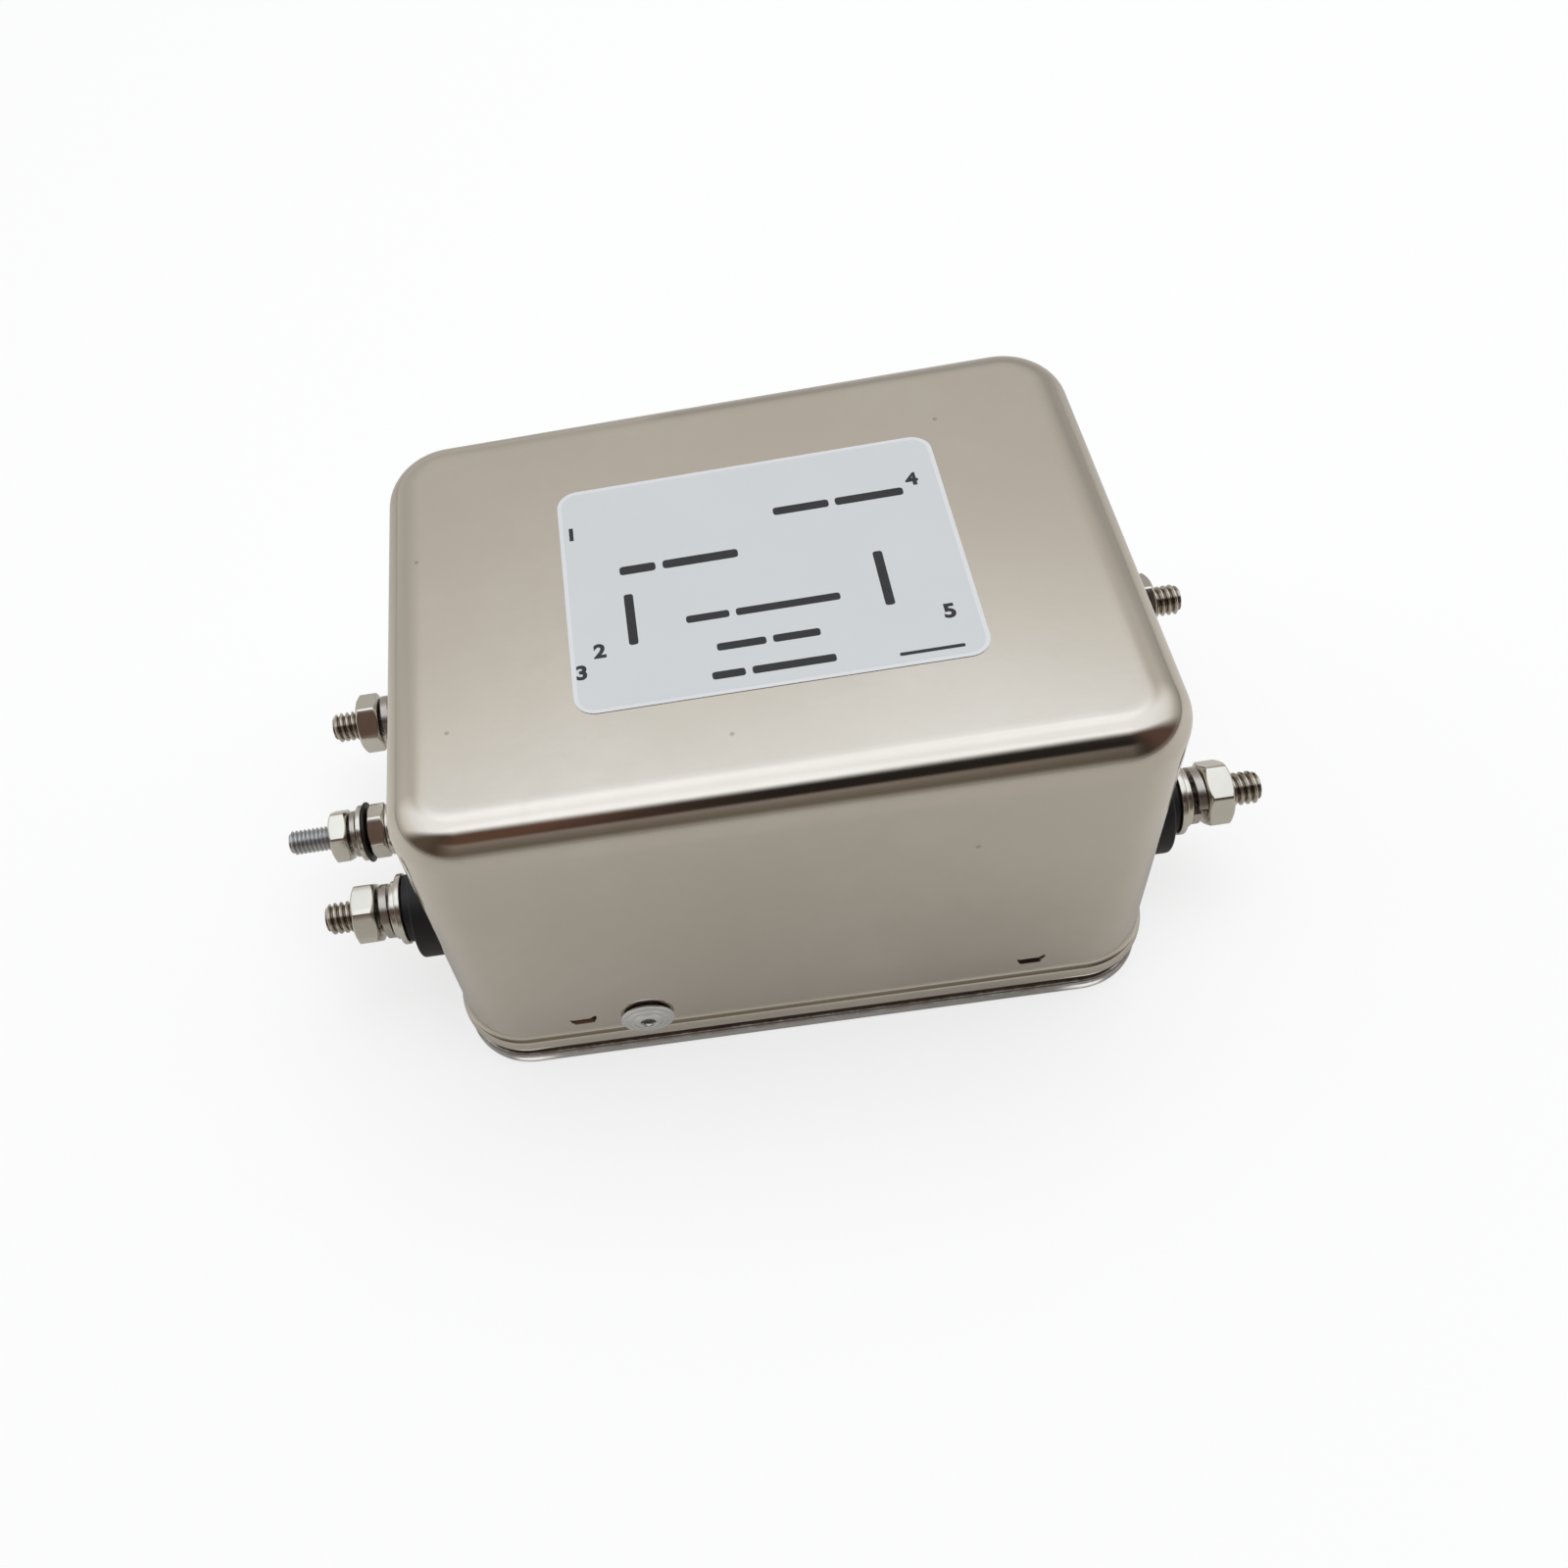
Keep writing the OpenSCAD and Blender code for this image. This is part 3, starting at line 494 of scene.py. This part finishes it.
build = bmesh.new()
flat_plate(build, round_corners(LABEL_X, 0.0, LABEL_L, LABEL_W, LABEL_R), CASE_H, FIELD_Z - 0.01)
mesh_piece("label_sheet", build, paper("label_white", (0.755, 0.77, 0.785), (0.79, 0.805, 0.82)), "label",
           "rating_label")
build = bmesh.new()
field = round_corners(LABEL_X, 0.0, LABEL_L - 2 * WHITE_MARGIN, LABEL_W - 2 * WHITE_MARGIN,
                      LABEL_R - WHITE_MARGIN)
flat_plate(build, field, FIELD_Z - 0.04, FIELD_Z)
mesh_piece("label_field", build, paper("label_grey", (0.660, 0.686, 0.700), (0.700, 0.726, 0.738)), "label")

label_ink, ink_shader, start = finish("label_ink", Roughness=0.5)
start.grain(900.0, 3.0).tint((0.012, 0.012, 0.014), (0.026, 0.026, 0.030)).into(ink_shader, "Base Color")
build = bmesh.new()


def bar(x, y, length, width):
    """One printed bar with softened corners."""
    outline = round_corners(x, y, length, width, 0.3 * min(length, width), 3)
    flat_plate(build, outline, FIELD_Z, FIELD_Z + INK_T)


for y, tall, bars in BAR_ROWS:
    for first, last in bars:
        bar((first + last) / 2, y, last - first, tall)
for x, y, tall in UPRIGHT_BARS:
    bar(x, y, UPRIGHT_W, tall)
mesh_piece("label_print", build, label_ink, "label")

for digit, x, y in NUMBERS:
    figure = bpy.data.curves.new("label_figure_" + digit, "FONT")
    figure.body = digit
    figure.size = DIGIT_H * MM
    figure.align_x = "CENTER"
    figure.align_y = "CENTER"
    figure.offset = 0.14 * MM
    figure.extrude = 0.005 * MM
    figure.materials.append(label_ink)
    piece = bpy.data.objects.new("label_figure_" + digit, figure)
    piece.location = Vector((x, y, FIELD_Z + 0.005)) * MM
    bpy.context.scene.collection.objects.link(piece)
    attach(piece, "root")

# ---- Rivets ----
# Aluminium blind rivets through the walls and flanges, each with the broken end of its mandrel in the head.

def rounded(outline, radius, steps=3):
    """Rounds the corners of a closed outline."""
    soft = []
    count = len(outline)
    for i in range(count):
        here = Vector(outline[i])
        before, after = Vector(outline[i - 1]), Vector(outline[(i + 1) % count])
        cut = min(radius, 0.45 * (before - here).length, 0.45 * (after - here).length)
        a, b = here + (before - here).normalized() * cut, here + (after - here).normalized() * cut
        for step in range(steps + 1):
            t = step / steps
            soft.append(tuple(a * (1 - t) ** 2 + here * (2 * t * (1 - t)) + b * t ** 2))
    return soft


def turned(build, outline, place, steps=64, closed=True):
    """Turns an outline of radius and height about an axis; an open one ends on the axis."""
    rows = []
    for radius, height in outline:
        ring = []
        for step in range(steps):
            a = 2 * math.pi * step / steps
            ring.append(place @ Vector((radius * math.cos(a), radius * math.sin(a), height)) * MM)
        rows.append(ring)
    made = skin(build, rows + ([rows[0]] if closed else []))
    if not closed:
        build.faces.new(made[0])
        build.faces.new(list(reversed(made[-1])))


# The head's outline is radius and height over the wall, from the wall up to the hole of the mandrel.
RIVET_HEAD = ((2.8, 0.0), (3.1, 0.12), (3.6, 0.26), (4.0, 0.36), (4.08, 0.44), (4.1, 0.56), (4.03, 0.64),
              (3.8, 0.72), (3.45, 0.82), (3.32, 0.74), (3.16, 0.78), (3.06, 0.9), (2.6, 1.04), (2.46, 0.95),
              (2.28, 0.98), (2.18, 1.1), (1.8, 1.24), (1.5, 1.31), (1.34, 1.32), (1.2, 1.26), (1.12, 1.1),
              (1.05, 0.62))
MANDREL_END = ((0.02, 0.5), (0.98, 0.55), (0.98, 0.72), (0.75, 0.84), (0.02, 0.78))
rivets_low, rivets_high = corners("case_rivets")
RIVET_X = round(rivets_high.x - max(RIVET_HEAD)[0], 2)
RIVET_Z = round((rivets_low.z + rivets_high.z) / 2, 2)

build = bmesh.new()
stubs = bmesh.new()
for side in (-1, 1):
    place = Matrix.Translation((side * RIVET_X, side * FRONT_WALL, RIVET_Z)) @ Matrix.Rotation(
        math.radians(-90.0 * side), 4, "X")
    turned(build, ((2.0, -2.0), *RIVET_HEAD, (0.02, 0.6)), place, closed=False)
    turned(stubs, MANDREL_END, place, steps=24, closed=False)
rivet_aluminium = plated("rivet_aluminium", (0.94, 0.95, 0.96), (0.84, 0.85, 0.86), 0.27, 0.06, 1500.0,
                         0.00002)
mandrel_steel = plated("mandrel_steel", (0.34, 0.33, 0.32), (0.20, 0.19, 0.18), 0.45, 0.08, 2500.0, 0.00004)
mesh_piece("rivets", tidy_mesh(build), rivet_aluminium, "aluminium", "case_rivets", crease=50.0)
mesh_piece("rivet_mandrels", tidy_mesh(stubs), mandrel_steel, "spring_steel")

# ---- Insulators ----
# Black moulded bushings in two halves that clamp the end wall, with a boss that carries the washers.

stud_low, stud_high = corners("stud_line_live")
TERMINAL_Y = round((stud_low.y + stud_high.y) / 2, 2)
TERMINAL_Z = round((stud_low.z + stud_high.z) / 2, 2)
STUDS = {(-1, 1): "line_live", (-1, -1): "line_neutral", (1, 1): "load_live", (1, -1): "load_neutral"}


def on_stud(end, y):
    """A stud's own frame: z runs out of the end wall from its face."""
    across = Matrix.Rotation(math.radians(90.0 * end), 4, "Y")
    return Matrix.Translation((end * END_WALL, y, TERMINAL_Z)) @ across


def reach(node):
    """How far a piece on the studs stands out of its end wall, in mm."""
    low, high = corners(node)
    return round(max(high.x, -low.x) - END_WALL, 2)


def girth(node):
    """The radius of a round piece on the studs, in mm."""
    low, high = corners(node)
    return round((high.z - low.z) / 2, 2)


moulding_black, moulding_shader, start = finish("moulding_black", Specular_IOR_Level=0.4)
start.grain(150.0, 4.0).tint((0.010, 0.010, 0.011), (0.020, 0.020, 0.022)).into(moulding_shader, "Base Color")
(0.42 + 0.14 * start.grain(500.0, 3.0)).into(moulding_shader, "Roughness")
start.grain(2600.0, 2.0).raised(0.5, 0.00003).into(moulding_shader, "Normal")
recolour(moulding_black, "collar_line_live", "collar_line_neutral", "collar_load_live", "collar_load_neutral",
         "choke_saddle")

BORE, NECK_R, BOSS_R = 2.65, 4.9, 5.3
NECK_IN, FLANGE_END = -2.8, 5.1
FLANGE_R, BOSS_END = girth("insulator_line_live"), reach("insulator_line_live")
bushing = ((BORE, NECK_IN), (NECK_R, NECK_IN), (NECK_R, 0.0), (FLANGE_R, 0.0), (FLANGE_R, FLANGE_END),
           (BOSS_R, FLANGE_END), (BOSS_R, BOSS_END), (BORE, BOSS_END))
for (end, pole), name in STUDS.items():
    build = bmesh.new()
    turned(build, rounded(bushing, 0.45), on_stud(end, pole * TERMINAL_Y))
    mesh_piece("insulator_" + name + "_bush", tidy_mesh(build), moulding_black, "black_moulding",
               "insulator_" + name, crease=50.0)

# ---- Live and neutral studs ----
# Rolled M5 studs, nickel plated, with chamfered tips.

def threaded(build, place, crest, root, pitch, start_s, end_s, chamfer, steps=40):
    """A rolled thread on a stud, from one station to its chamfered tip."""
    groove = build.verts.layers.float.new("groove")
    turns = math.ceil((end_s - start_s) / pitch) + 1
    shoulder = crest - 0.12 * (crest - root)
    marks = ((0.0, crest), (0.12, crest), (0.2, shoulder), (0.48, root), (0.62, root), (0.92, shoulder))
    rings, depths = [], []
    for turn in range(-1, turns):
        for part, radius in marks:
            depths.append((crest - radius) / (crest - root))
            ring = []
            for step in range(steps + 1):
                around = step / steps
                s = min(max(start_s + pitch * (turn + part + around), start_s), end_s)
                r = min(radius, crest - chamfer + end_s - s)
                a = 2 * math.pi * around
                ring.append(place @ Vector((r * math.cos(a), r * math.sin(a), s)) * MM)
            rings.append(ring)
    rows = skin(build, rings, around=False)
    for row, depth in zip(rows, depths):
        for point in row:
            point[groove] = depth
    tip = build.verts.new(place @ Vector((0.0, 0.0, end_s)) * MM)
    foot = build.verts.new(place @ Vector((0.0, 0.0, start_s)) * MM)
    flat = []
    for step in range(steps + 1):
        a = 2 * math.pi * step / steps
        r = 0.8 * root
        flat.append(build.verts.new(place @ Vector((r * math.cos(a), r * math.sin(a), end_s)) * MM))
    for i in range(steps):
        build.faces.new((rows[-1][i], rows[-1][i + 1], flat[i + 1], flat[i]))
        build.faces.new((flat[i], flat[i + 1], tip))
        build.faces.new((rows[0][i + 1], rows[0][i], foot))


def thread_finish(name, low, high, groove_shade_colour, gloss=0.16):
    """Rolled thread: bright crests, with painted shade darkening the flanks toward the roots of the grooves.
    """
    material, shader, start = finish(name, Metallic=1.0)
    # Painted shade: the deeper a point lies in the groove, the more of the dark colour it takes.
    groove_shade = start.add("Attribute", {"attribute_name": "groove"}, out="Fac").ease(0.15, 0.9)
    (groove_shade * 0.8).tint(start.grain(300.0, 3.0).tint(low, high), groove_shade_colour).into(shader, "Base Color")
    (gloss + 0.10 * start.grain(700.0, 3.0)).into(shader, "Roughness")
    start.grain(2600.0, 2.0).raised(0.3, 0.00001).into(shader, "Normal")
    return material


thread_nickel = thread_finish("thread_nickel", (0.62, 0.58, 0.52), (0.74, 0.70, 0.64), (0.13, 0.085, 0.05))
STUD_R, STUD_END = girth("stud_line_live"), reach("stud_line_live")
THREAD_FROM = 6.0
SHANK_IN = -stud_high.x - END_WALL
for (end, pole), name in STUDS.items():
    place = on_stud(end, pole * TERMINAL_Y)
    build = bmesh.new()
    threaded(build, place, STUD_R, 1.92, 1.0, THREAD_FROM, STUD_END, 0.6)
    turned(build, ((STUD_R - 0.1, SHANK_IN), (STUD_R - 0.1, THREAD_FROM)), place, closed=False)
    mesh_piece("threaded_stud_" + name, tidy_mesh(build), thread_nickel, "bright_nickel", "stud_" + name,
               crease=28.0)

# ---- Flat washers ----
# Two punched washers on each stud, a large one on the boss and a small one over it.

hardware_nickel, hardware_shader, start = finish("hardware_nickel", Metallic=1.0)
start.grain(200.0, 3.0).tint((0.65, 0.62, 0.55), (0.76, 0.73, 0.67)).into(hardware_shader, "Base Color")
(0.14 + 0.12 * start.grain(600.0, 4.0, 0.6)).into(hardware_shader, "Roughness")
start.grain(1500.0, 3.0).raised(0.35, 0.000012).into(hardware_shader, "Normal")


def washer(build, place, low, high, bore, radius, edge=0.25):
    """A flat ring between two stations of a stud, with rounded edges."""
    turned(build, rounded(((bore, low), (radius, low), (radius, high), (bore, high)), edge), place)


LARGE_END, SMALL_END = reach("large_washers"), reach("flat_washers")
large, small = bmesh.new(), bmesh.new()
for end, pole in STUDS:
    place = on_stud(end, pole * TERMINAL_Y)
    washer(large, place, BOSS_END, LARGE_END, BORE, girth("large_washers"))
    washer(small, place, LARGE_END, SMALL_END, BORE, girth("flat_washers"))
mesh_piece("washers_large", tidy_mesh(large), hardware_nickel, "bright_nickel", "large_washers", crease=50.0)
mesh_piece("washers_small", tidy_mesh(small), hardware_nickel, "bright_nickel", "flat_washers", crease=50.0)

# ---- Spring washers ----
# One turn of square spring wire, cut through and set so that its ends stand apart.

def split_washer(build, place, low, high, rise, bore, radius, steps=56):
    """Spring wire between two stations of a stud, whose one end stands higher than the other by the rise."""
    thick = high - low - rise
    section = rounded(((bore, 0.0), (radius, 0.0), (radius, thick), (bore, thick)), 0.16)
    rings = []
    for step in range(steps + 1):
        a = math.radians(5.0 + 350.0 * step / steps)
        ring = []
        for r, z in section:
            height = low + z + rise * step / steps
            ring.append(place @ Vector((r * math.cos(a), r * math.sin(a), height)) * MM)
        rings.append(ring)
    rows = skin(build, rings)
    build.faces.new(rows[0])
    build.faces.new(list(reversed(rows[-1])))


def spun(place, degrees):
    """A stud's frame, turned about the stud."""
    return place @ Matrix.Rotation(math.radians(degrees), 4, "Z")


SPRING_END = reach("spring_washers")
spring_nickel = plated("spring_nickel", (0.56, 0.52, 0.48), (0.44, 0.41, 0.375), 0.27, 0.06, 1500.0, 0.00002)
build = bmesh.new()
for split, (end, pole) in zip((150.0, 200.0, 80.0, 250.0), STUDS):
    place = spun(on_stud(end, pole * TERMINAL_Y), split)
    split_washer(build, place, SMALL_END, SPRING_END, 0.9, BORE, girth("spring_washers"))
mesh_piece("washers_split", tidy_mesh(build), spring_nickel, "spring_steel", "spring_washers", crease=50.0)

# ---- Terminal nuts ----
# Hex nuts with both faces turned to a chamfer, nickel plated.

def hex_nut(build, place, low, high, flats, bore, turn):
    """A nut between two stations, from its width over flats, with blunted corners and chamfered faces."""
    face = 0.455 * flats
    blunt = 0.5
    slope = math.tan(math.radians(30.0))
    swing = 30.0 - math.degrees(blunt / flats)
    angles, radii = [], []
    for side in range(6):
        middle = 60.0 * side + 30.0 + turn
        for part in (-1.0, -0.7, -0.35, 0.0, 0.35, 0.7, 1.0):
            angles.append(math.radians(middle + part * swing))
            radii.append(flats / 2 / math.cos(math.radians(part * swing)))
        angles.append(math.radians(middle + 30.0))
        radii.append(radii[-1] * 1.002)
    columns = []
    for a, r in zip(angles, radii):
        rise = (r - face) * slope
        near = ((bore, 0.4), (bore + 0.4, 0.0), (face - 0.1, 0.0), (face + 0.05, 0.05),
                (r - 0.15, rise - 0.15 * slope), (r - 0.04, rise + 0.02), (r, rise + 0.14))
        line = [(out, low + z) for out, z in near] + [(out, high - z) for out, z in reversed(near)]
        columns.append([place @ Vector((out * math.cos(a), out * math.sin(a), z)) * MM for out, z in line])
    rings = list(zip(*columns))
    skin(build, rings + [rings[0]])


NUT_END = reach("terminal_nuts")
NUT_FLATS = 9.0
build = bmesh.new()
for turn, (end, pole) in zip((50.0, 28.0, 10.0, 46.0), STUDS):
    hex_nut(build, on_stud(end, pole * TERMINAL_Y), SPRING_END, NUT_END, NUT_FLATS, STUD_R, turn)
mesh_piece("nuts_terminal", tidy_mesh(build), hardware_nickel, "bright_nickel", "terminal_nuts")
recolour(fastener_nickel, "inner_washers", "inner_nuts", "solder_tags", "lock_nuts")

# ---- Earth stud ----
# An M4 stud bonded to the case: a round spacer, a clamping nut, a lock washer whose black colour is painted
# shade for the gap there, then the washers and nut for the earth wire.

earth_low, earth_high = corners("stud_earth")
earth = on_stud(-1, round((earth_low.y + earth_high.y) / 2, 2))
EARTH_R, EARTH_END = girth("stud_earth"), reach("stud_earth")
EARTH_THREAD_FROM = 9.0
EARTH_BORE = 2.15
EARTH_FLATS = 8.0
SPACER_END, CLAMP_END = reach("earth_spacer"), reach("earth_clamp_nut")
LOCK_END, FLAT_END = reach("earth_lock_washer"), reach("earth_flat_washer")
EARTH_SPRING_END, EARTH_NUT_END = reach("earth_spring_washer"), reach("earth_nut")

build = bmesh.new()
threaded(build, earth, EARTH_R, 1.58, 0.7, EARTH_THREAD_FROM, EARTH_END, 0.5)
turned(build, ((EARTH_R - 0.05, SHANK_IN), (EARTH_R - 0.05, EARTH_THREAD_FROM)), earth, closed=False)
thread_zinc = thread_finish("thread_zinc", (0.62, 0.63, 0.65), (0.76, 0.77, 0.79), (0.40, 0.40, 0.41), 0.32)
mesh_piece("threaded_stud_earth", tidy_mesh(build), thread_zinc, "bright_nickel", "stud_earth", crease=28.0)

build = bmesh.new()
washer(build, earth, 0.0, SPACER_END, EARTH_BORE, girth("earth_spacer"))
mesh_piece("spacer_earth", tidy_mesh(build), hardware_nickel, "bright_nickel", "earth_spacer", crease=50.0)

build = bmesh.new()
hex_nut(build, earth, SPACER_END, CLAMP_END, EARTH_FLATS, EARTH_R, 54.0)
mesh_piece("nut_earth_clamp", tidy_mesh(build), hardware_nickel, "bright_nickel", "earth_clamp_nut")

# Painted shade: the lock washer is real, but its near-black colour stands for the dark gap between the
# clamping nut and the flat washer.
gap_shade_black, gap_shade_shader, start = finish("gap_shade_black", Metallic=0.4)
start.grain(500.0, 3.0).tint((0.012, 0.011, 0.010), (0.03, 0.028, 0.025)).into(gap_shade_shader, "Base Color")
(0.30 + 0.15 * start.grain(900.0, 3.0)).into(gap_shade_shader, "Roughness")
build = bmesh.new()
washer(build, earth, CLAMP_END + 0.05, LOCK_END - 0.2, EARTH_BORE, 4.95, 0.2)
mesh_piece("washer_earth_lock", tidy_mesh(build), gap_shade_black, "spring_steel", "earth_lock_washer",
           crease=50.0)

build = bmesh.new()
washer(build, earth, LOCK_END - 0.05, FLAT_END - 0.05, EARTH_BORE, 4.6, 0.2)
mesh_piece("washer_earth_flat", tidy_mesh(build), hardware_nickel, "bright_nickel", "earth_flat_washer",
           crease=50.0)

build = bmesh.new()
split_washer(build, spun(earth, 200.0), FLAT_END, EARTH_SPRING_END, 0.6, EARTH_BORE,
             girth("earth_spring_washer"))
mesh_piece("washer_earth_split", tidy_mesh(build), spring_nickel, "spring_steel", "earth_spring_washer",
           crease=50.0)

build = bmesh.new()
hex_nut(build, earth, EARTH_SPRING_END, EARTH_NUT_END, EARTH_FLATS, EARTH_R, 18.0)
mesh_piece("nut_earth", tidy_mesh(build), hardware_nickel, "bright_nickel", "earth_nut")
recolour(fastener_nickel, "earth_inner_nut", "earth_solder_tag", "earth_lock_nut")

# ---- Studio ----
# A pale floor, an overhead softbox and a bright tent with a dark opening in front, where the camera stands.

floor_mesh = bpy.data.meshes.new("floor")
floor_mesh.from_pydata([(-4, -4, 0), (4, -4, 0), (4, 4, 0), (-4, 4, 0)], [], [(0, 1, 2, 3)])
floor = bpy.data.objects.new("floor", floor_mesh)
floor.location.z = -0.2 * MM
bpy.context.scene.collection.objects.link(floor)

# The camera sees the floor evenly bright. Metal sees it darker, with a glow from behind the part, a soft
# light close to the walls and one far from them, and a glint beside each front corner.
floor_paper, floor_shader, start = finish("floor_paper", Roughness=0.9, Specular_IOR_Level=0.0,
                                          Emission_Strength=1.0)
seen = start.add("LightPath", out="Is Camera Ray")
mirrored = start.add("LightPath", out="Is Glossy Ray") + start.add("LightPath", out="Is Transmission Ray")
spot = start.add("TexCoord", out="Object")
along, across = (start.add("SeparateXYZ", {}, {0: spot}, out=i) for i in range(2))
to_right = start.math("ARCTAN2", along, -across) * (180.0 / math.pi)
off_front = abs(to_right)
backlit = mirrored * off_front.add("ValToRGB", {"stops": [
    (0.0, 0.0), (0.28, 0.02), (0.43, 0.13), (0.53, 0.17), (0.64, 0.10), (0.75, 0.0), (0.95, 0.0)]}, {
        0: off_front * (1.0 / 180.0)})
beside = start.math("MAXIMUM", abs(along) - (END_WALL - CASE_CORNER) * MM, 0.0)
before = start.math("MAXIMUM", abs(across) - (FRONT_WALL - CASE_CORNER) * MM, 0.0)
gap = start.math("SQRT", beside * beside + before * before) - CASE_CORNER * MM
foot = mirrored * gap.ease(0.030, 0.006, 0.0, 0.09) * to_right.ease(45.0, 5.0, 0.35, 1.0)
far = mirrored * gap.ease(0.012, 0.028, 0.0, 0.03)
close = gap.ease(0.0009, 0.0012) * gap.ease(0.0020, 0.0015)
glints = mirrored * 1.3 * close * off_front.ease(43.0, 46.5) * off_front.ease(50.0, 48.0)
seen.tint((0.56, 0.536, 0.492), (0.30, 0.30, 0.30)).into(floor_shader, "Base Color")
seen.tint(backlit + foot + far + glints, (0.72, 0.72, 0.72)).into(floor_shader, "Emission Color")
floor_mesh.materials.append(floor_paper)

world = bpy.data.worlds.new("tent")
bpy.context.scene.world = world
world.use_nodes = True
background = world.node_tree.nodes["Background"]
start = Wire(world.node_tree)

# Where a ray looks, in degrees: its height above the floor, and its bearing from the front to the right.
looking = start.add("TexCoord", out="Generated")
east, north, up = (start.add("SeparateXYZ", {}, {0: looking}, out=i) for i in range(3))
climb = start.math("ARCSINE", up) * (180.0 / math.pi)
bearing = start.math("ARCTAN2", east, -north) * (180.0 / math.pi)
sideways = abs(bearing)
BRIGHTEST = 1.4


def cloth(stops):
    """Brightness of the tent over the height above the floor, from degrees and levels."""
    marks = [(degrees / 90.0, level / BRIGHTEST) for degrees, level in stops]
    return BRIGHTEST * start.add("ValToRGB", {"stops": marks}, {0: climb * (1.0 / 90.0)})


ends = cloth([(0, 0.36), (8, 0.53), (20, 0.76), (30, 0.88), (40, 1.0), (56, 1.13), (76, 1.18), (90, 1.20)])
rear = cloth([(0, 0.56), (9, 0.51), (20, 0.49), (32, 0.53), (42, 0.60), (48, 0.72), (53, 0.94), (58, 1.14),
              (66, 1.32), (76, 1.27), (84, 1.19), (90, 1.20)])
crown = cloth([(0, 1.25), (60, 1.25), (70, 1.32), (78, 1.30), (86, 1.22), (90, 1.20)])
level = sideways.ease(112.0, 140.0) * (rear - ends) + ends
level = sideways.ease(75.0, 45.0) * (crown - level) + level
level = level * (1.0 - 0.2 * bearing.ease(60.0, 95.0) * climb.ease(34.0, 14.0))
level = level * (1.0 + 0.15 * bearing.ease(178.0, 160.0) * bearing.ease(120.0, 145.0) * climb.ease(44.0, 51.0)
                 * climb.ease(66.0, 57.0))
white = level.ease(0.6, 1.1).tint((1.03, 1.0, 0.95), (0.965, 1.008, 1.055))
tent = start.add("VectorMath", {"operation": "SCALE"}, {0: white, "Scale": level})

# Through the opening in front the metal sees a dark room with a lighter patch, and the floor's far edge.
room = start.add("ValToRGB", {"stops": [
    (0.0, (0.11, 0.085, 0.07)), (0.15, (0.08, 0.058, 0.043)), (0.32, (0.11, 0.064, 0.048)),
    (0.40, (0.14, 0.074, 0.053)), (0.47, (0.055, 0.038, 0.03)), (0.53, (0.022, 0.018, 0.015)),
    (0.70, (0.022, 0.020, 0.018)), (0.80, (0.05, 0.038, 0.03)), (0.92, (0.10, 0.06, 0.045)),
    (1.0, (0.11, 0.07, 0.055))]}, {0: bearing * (1.0 / 120.0) + 0.5})
patch = start.add("ValToRGB", {"stops": [
    (0.0, (0.22, 0.20, 0.17)), (0.20, (0.20, 0.18, 0.15)), (0.36, (0.155, 0.135, 0.11)),
    (0.55, (0.19, 0.16, 0.135)), (0.80, (0.26, 0.222, 0.20)), (1.0, (0.26, 0.222, 0.20))]}, {
        0: climb * (1.0 / 42.0)})
inside = (bearing.ease(-48.0, -8.0) * bearing.ease(42.0, 4.0) * climb.ease(43.0, 34.0)).tint(room, patch)
glow = climb.ease(12.0, -1.0) * (1.0 - bearing.ease(5.0, 50.0, 0.0, 0.4))
inside = glow.tint(inside, (0.37, 0.35, 0.32))

# The opening has round upper corners and narrows upward.
aside = abs(bearing - 1.0) / (88.0 - 0.3 * climb)
above = start.math("MAXIMUM", climb, 0.0) * (1.0 / 66.0)
shut = aside ** 4.0 + above ** 4.0
tent = shut.ease(0.6, 1.6).tint(inside, tent)
start.add("LightPath", out="Is Camera Ray").tint(tent, (0.985, 0.985, 0.985)).into(background, "Color")

lamp = bpy.data.lights.new("softbox", "AREA")
lamp.shape = "RECTANGLE"
lamp.size = 0.9
lamp.size_y = 0.7
lamp.energy = 3.5
softbox = bpy.data.objects.new("softbox", lamp)
softbox.location = (0.25, 0.15, 1.1)
softbox.rotation_euler = (Vector((0, 0, 0.03)) - softbox.location).to_track_quat("-Z", "Y").to_euler()
softbox.visible_glossy = False
bpy.context.scene.collection.objects.link(softbox)

# The camera stands in front, looks down on the top and is rolled a little to one side.
CAMERA_PLACE = Vector((-9.53, -141.28, 209.42))
azimuth = math.radians(7.758)
elevation = math.radians(53.490)
roll = math.radians(-14.745)
back = Vector((math.sin(azimuth) * math.cos(elevation), -math.cos(azimuth) * math.cos(elevation),
               math.sin(elevation)))
right = (-back).cross(Vector((0, 0, 1))).normalized()
upward = right.cross(-back)
lens = bpy.data.cameras.new("camera")
lens.sensor_width = 36.0
lens.lens = 33.65
lens.shift_x = 0.125
lens.clip_start = 0.01
camera = bpy.data.objects.new("camera", lens)
looking_down = Matrix((right, upward, back)).transposed() @ Matrix.Rotation(roll, 3, "Z")
camera.matrix_world = Matrix.Translation(CAMERA_PLACE * MM) @ looking_down.to_4x4()
bpy.context.scene.collection.objects.link(camera)
bpy.context.scene.camera = camera
bpy.context.scene.view_settings.view_transform = "Standard"
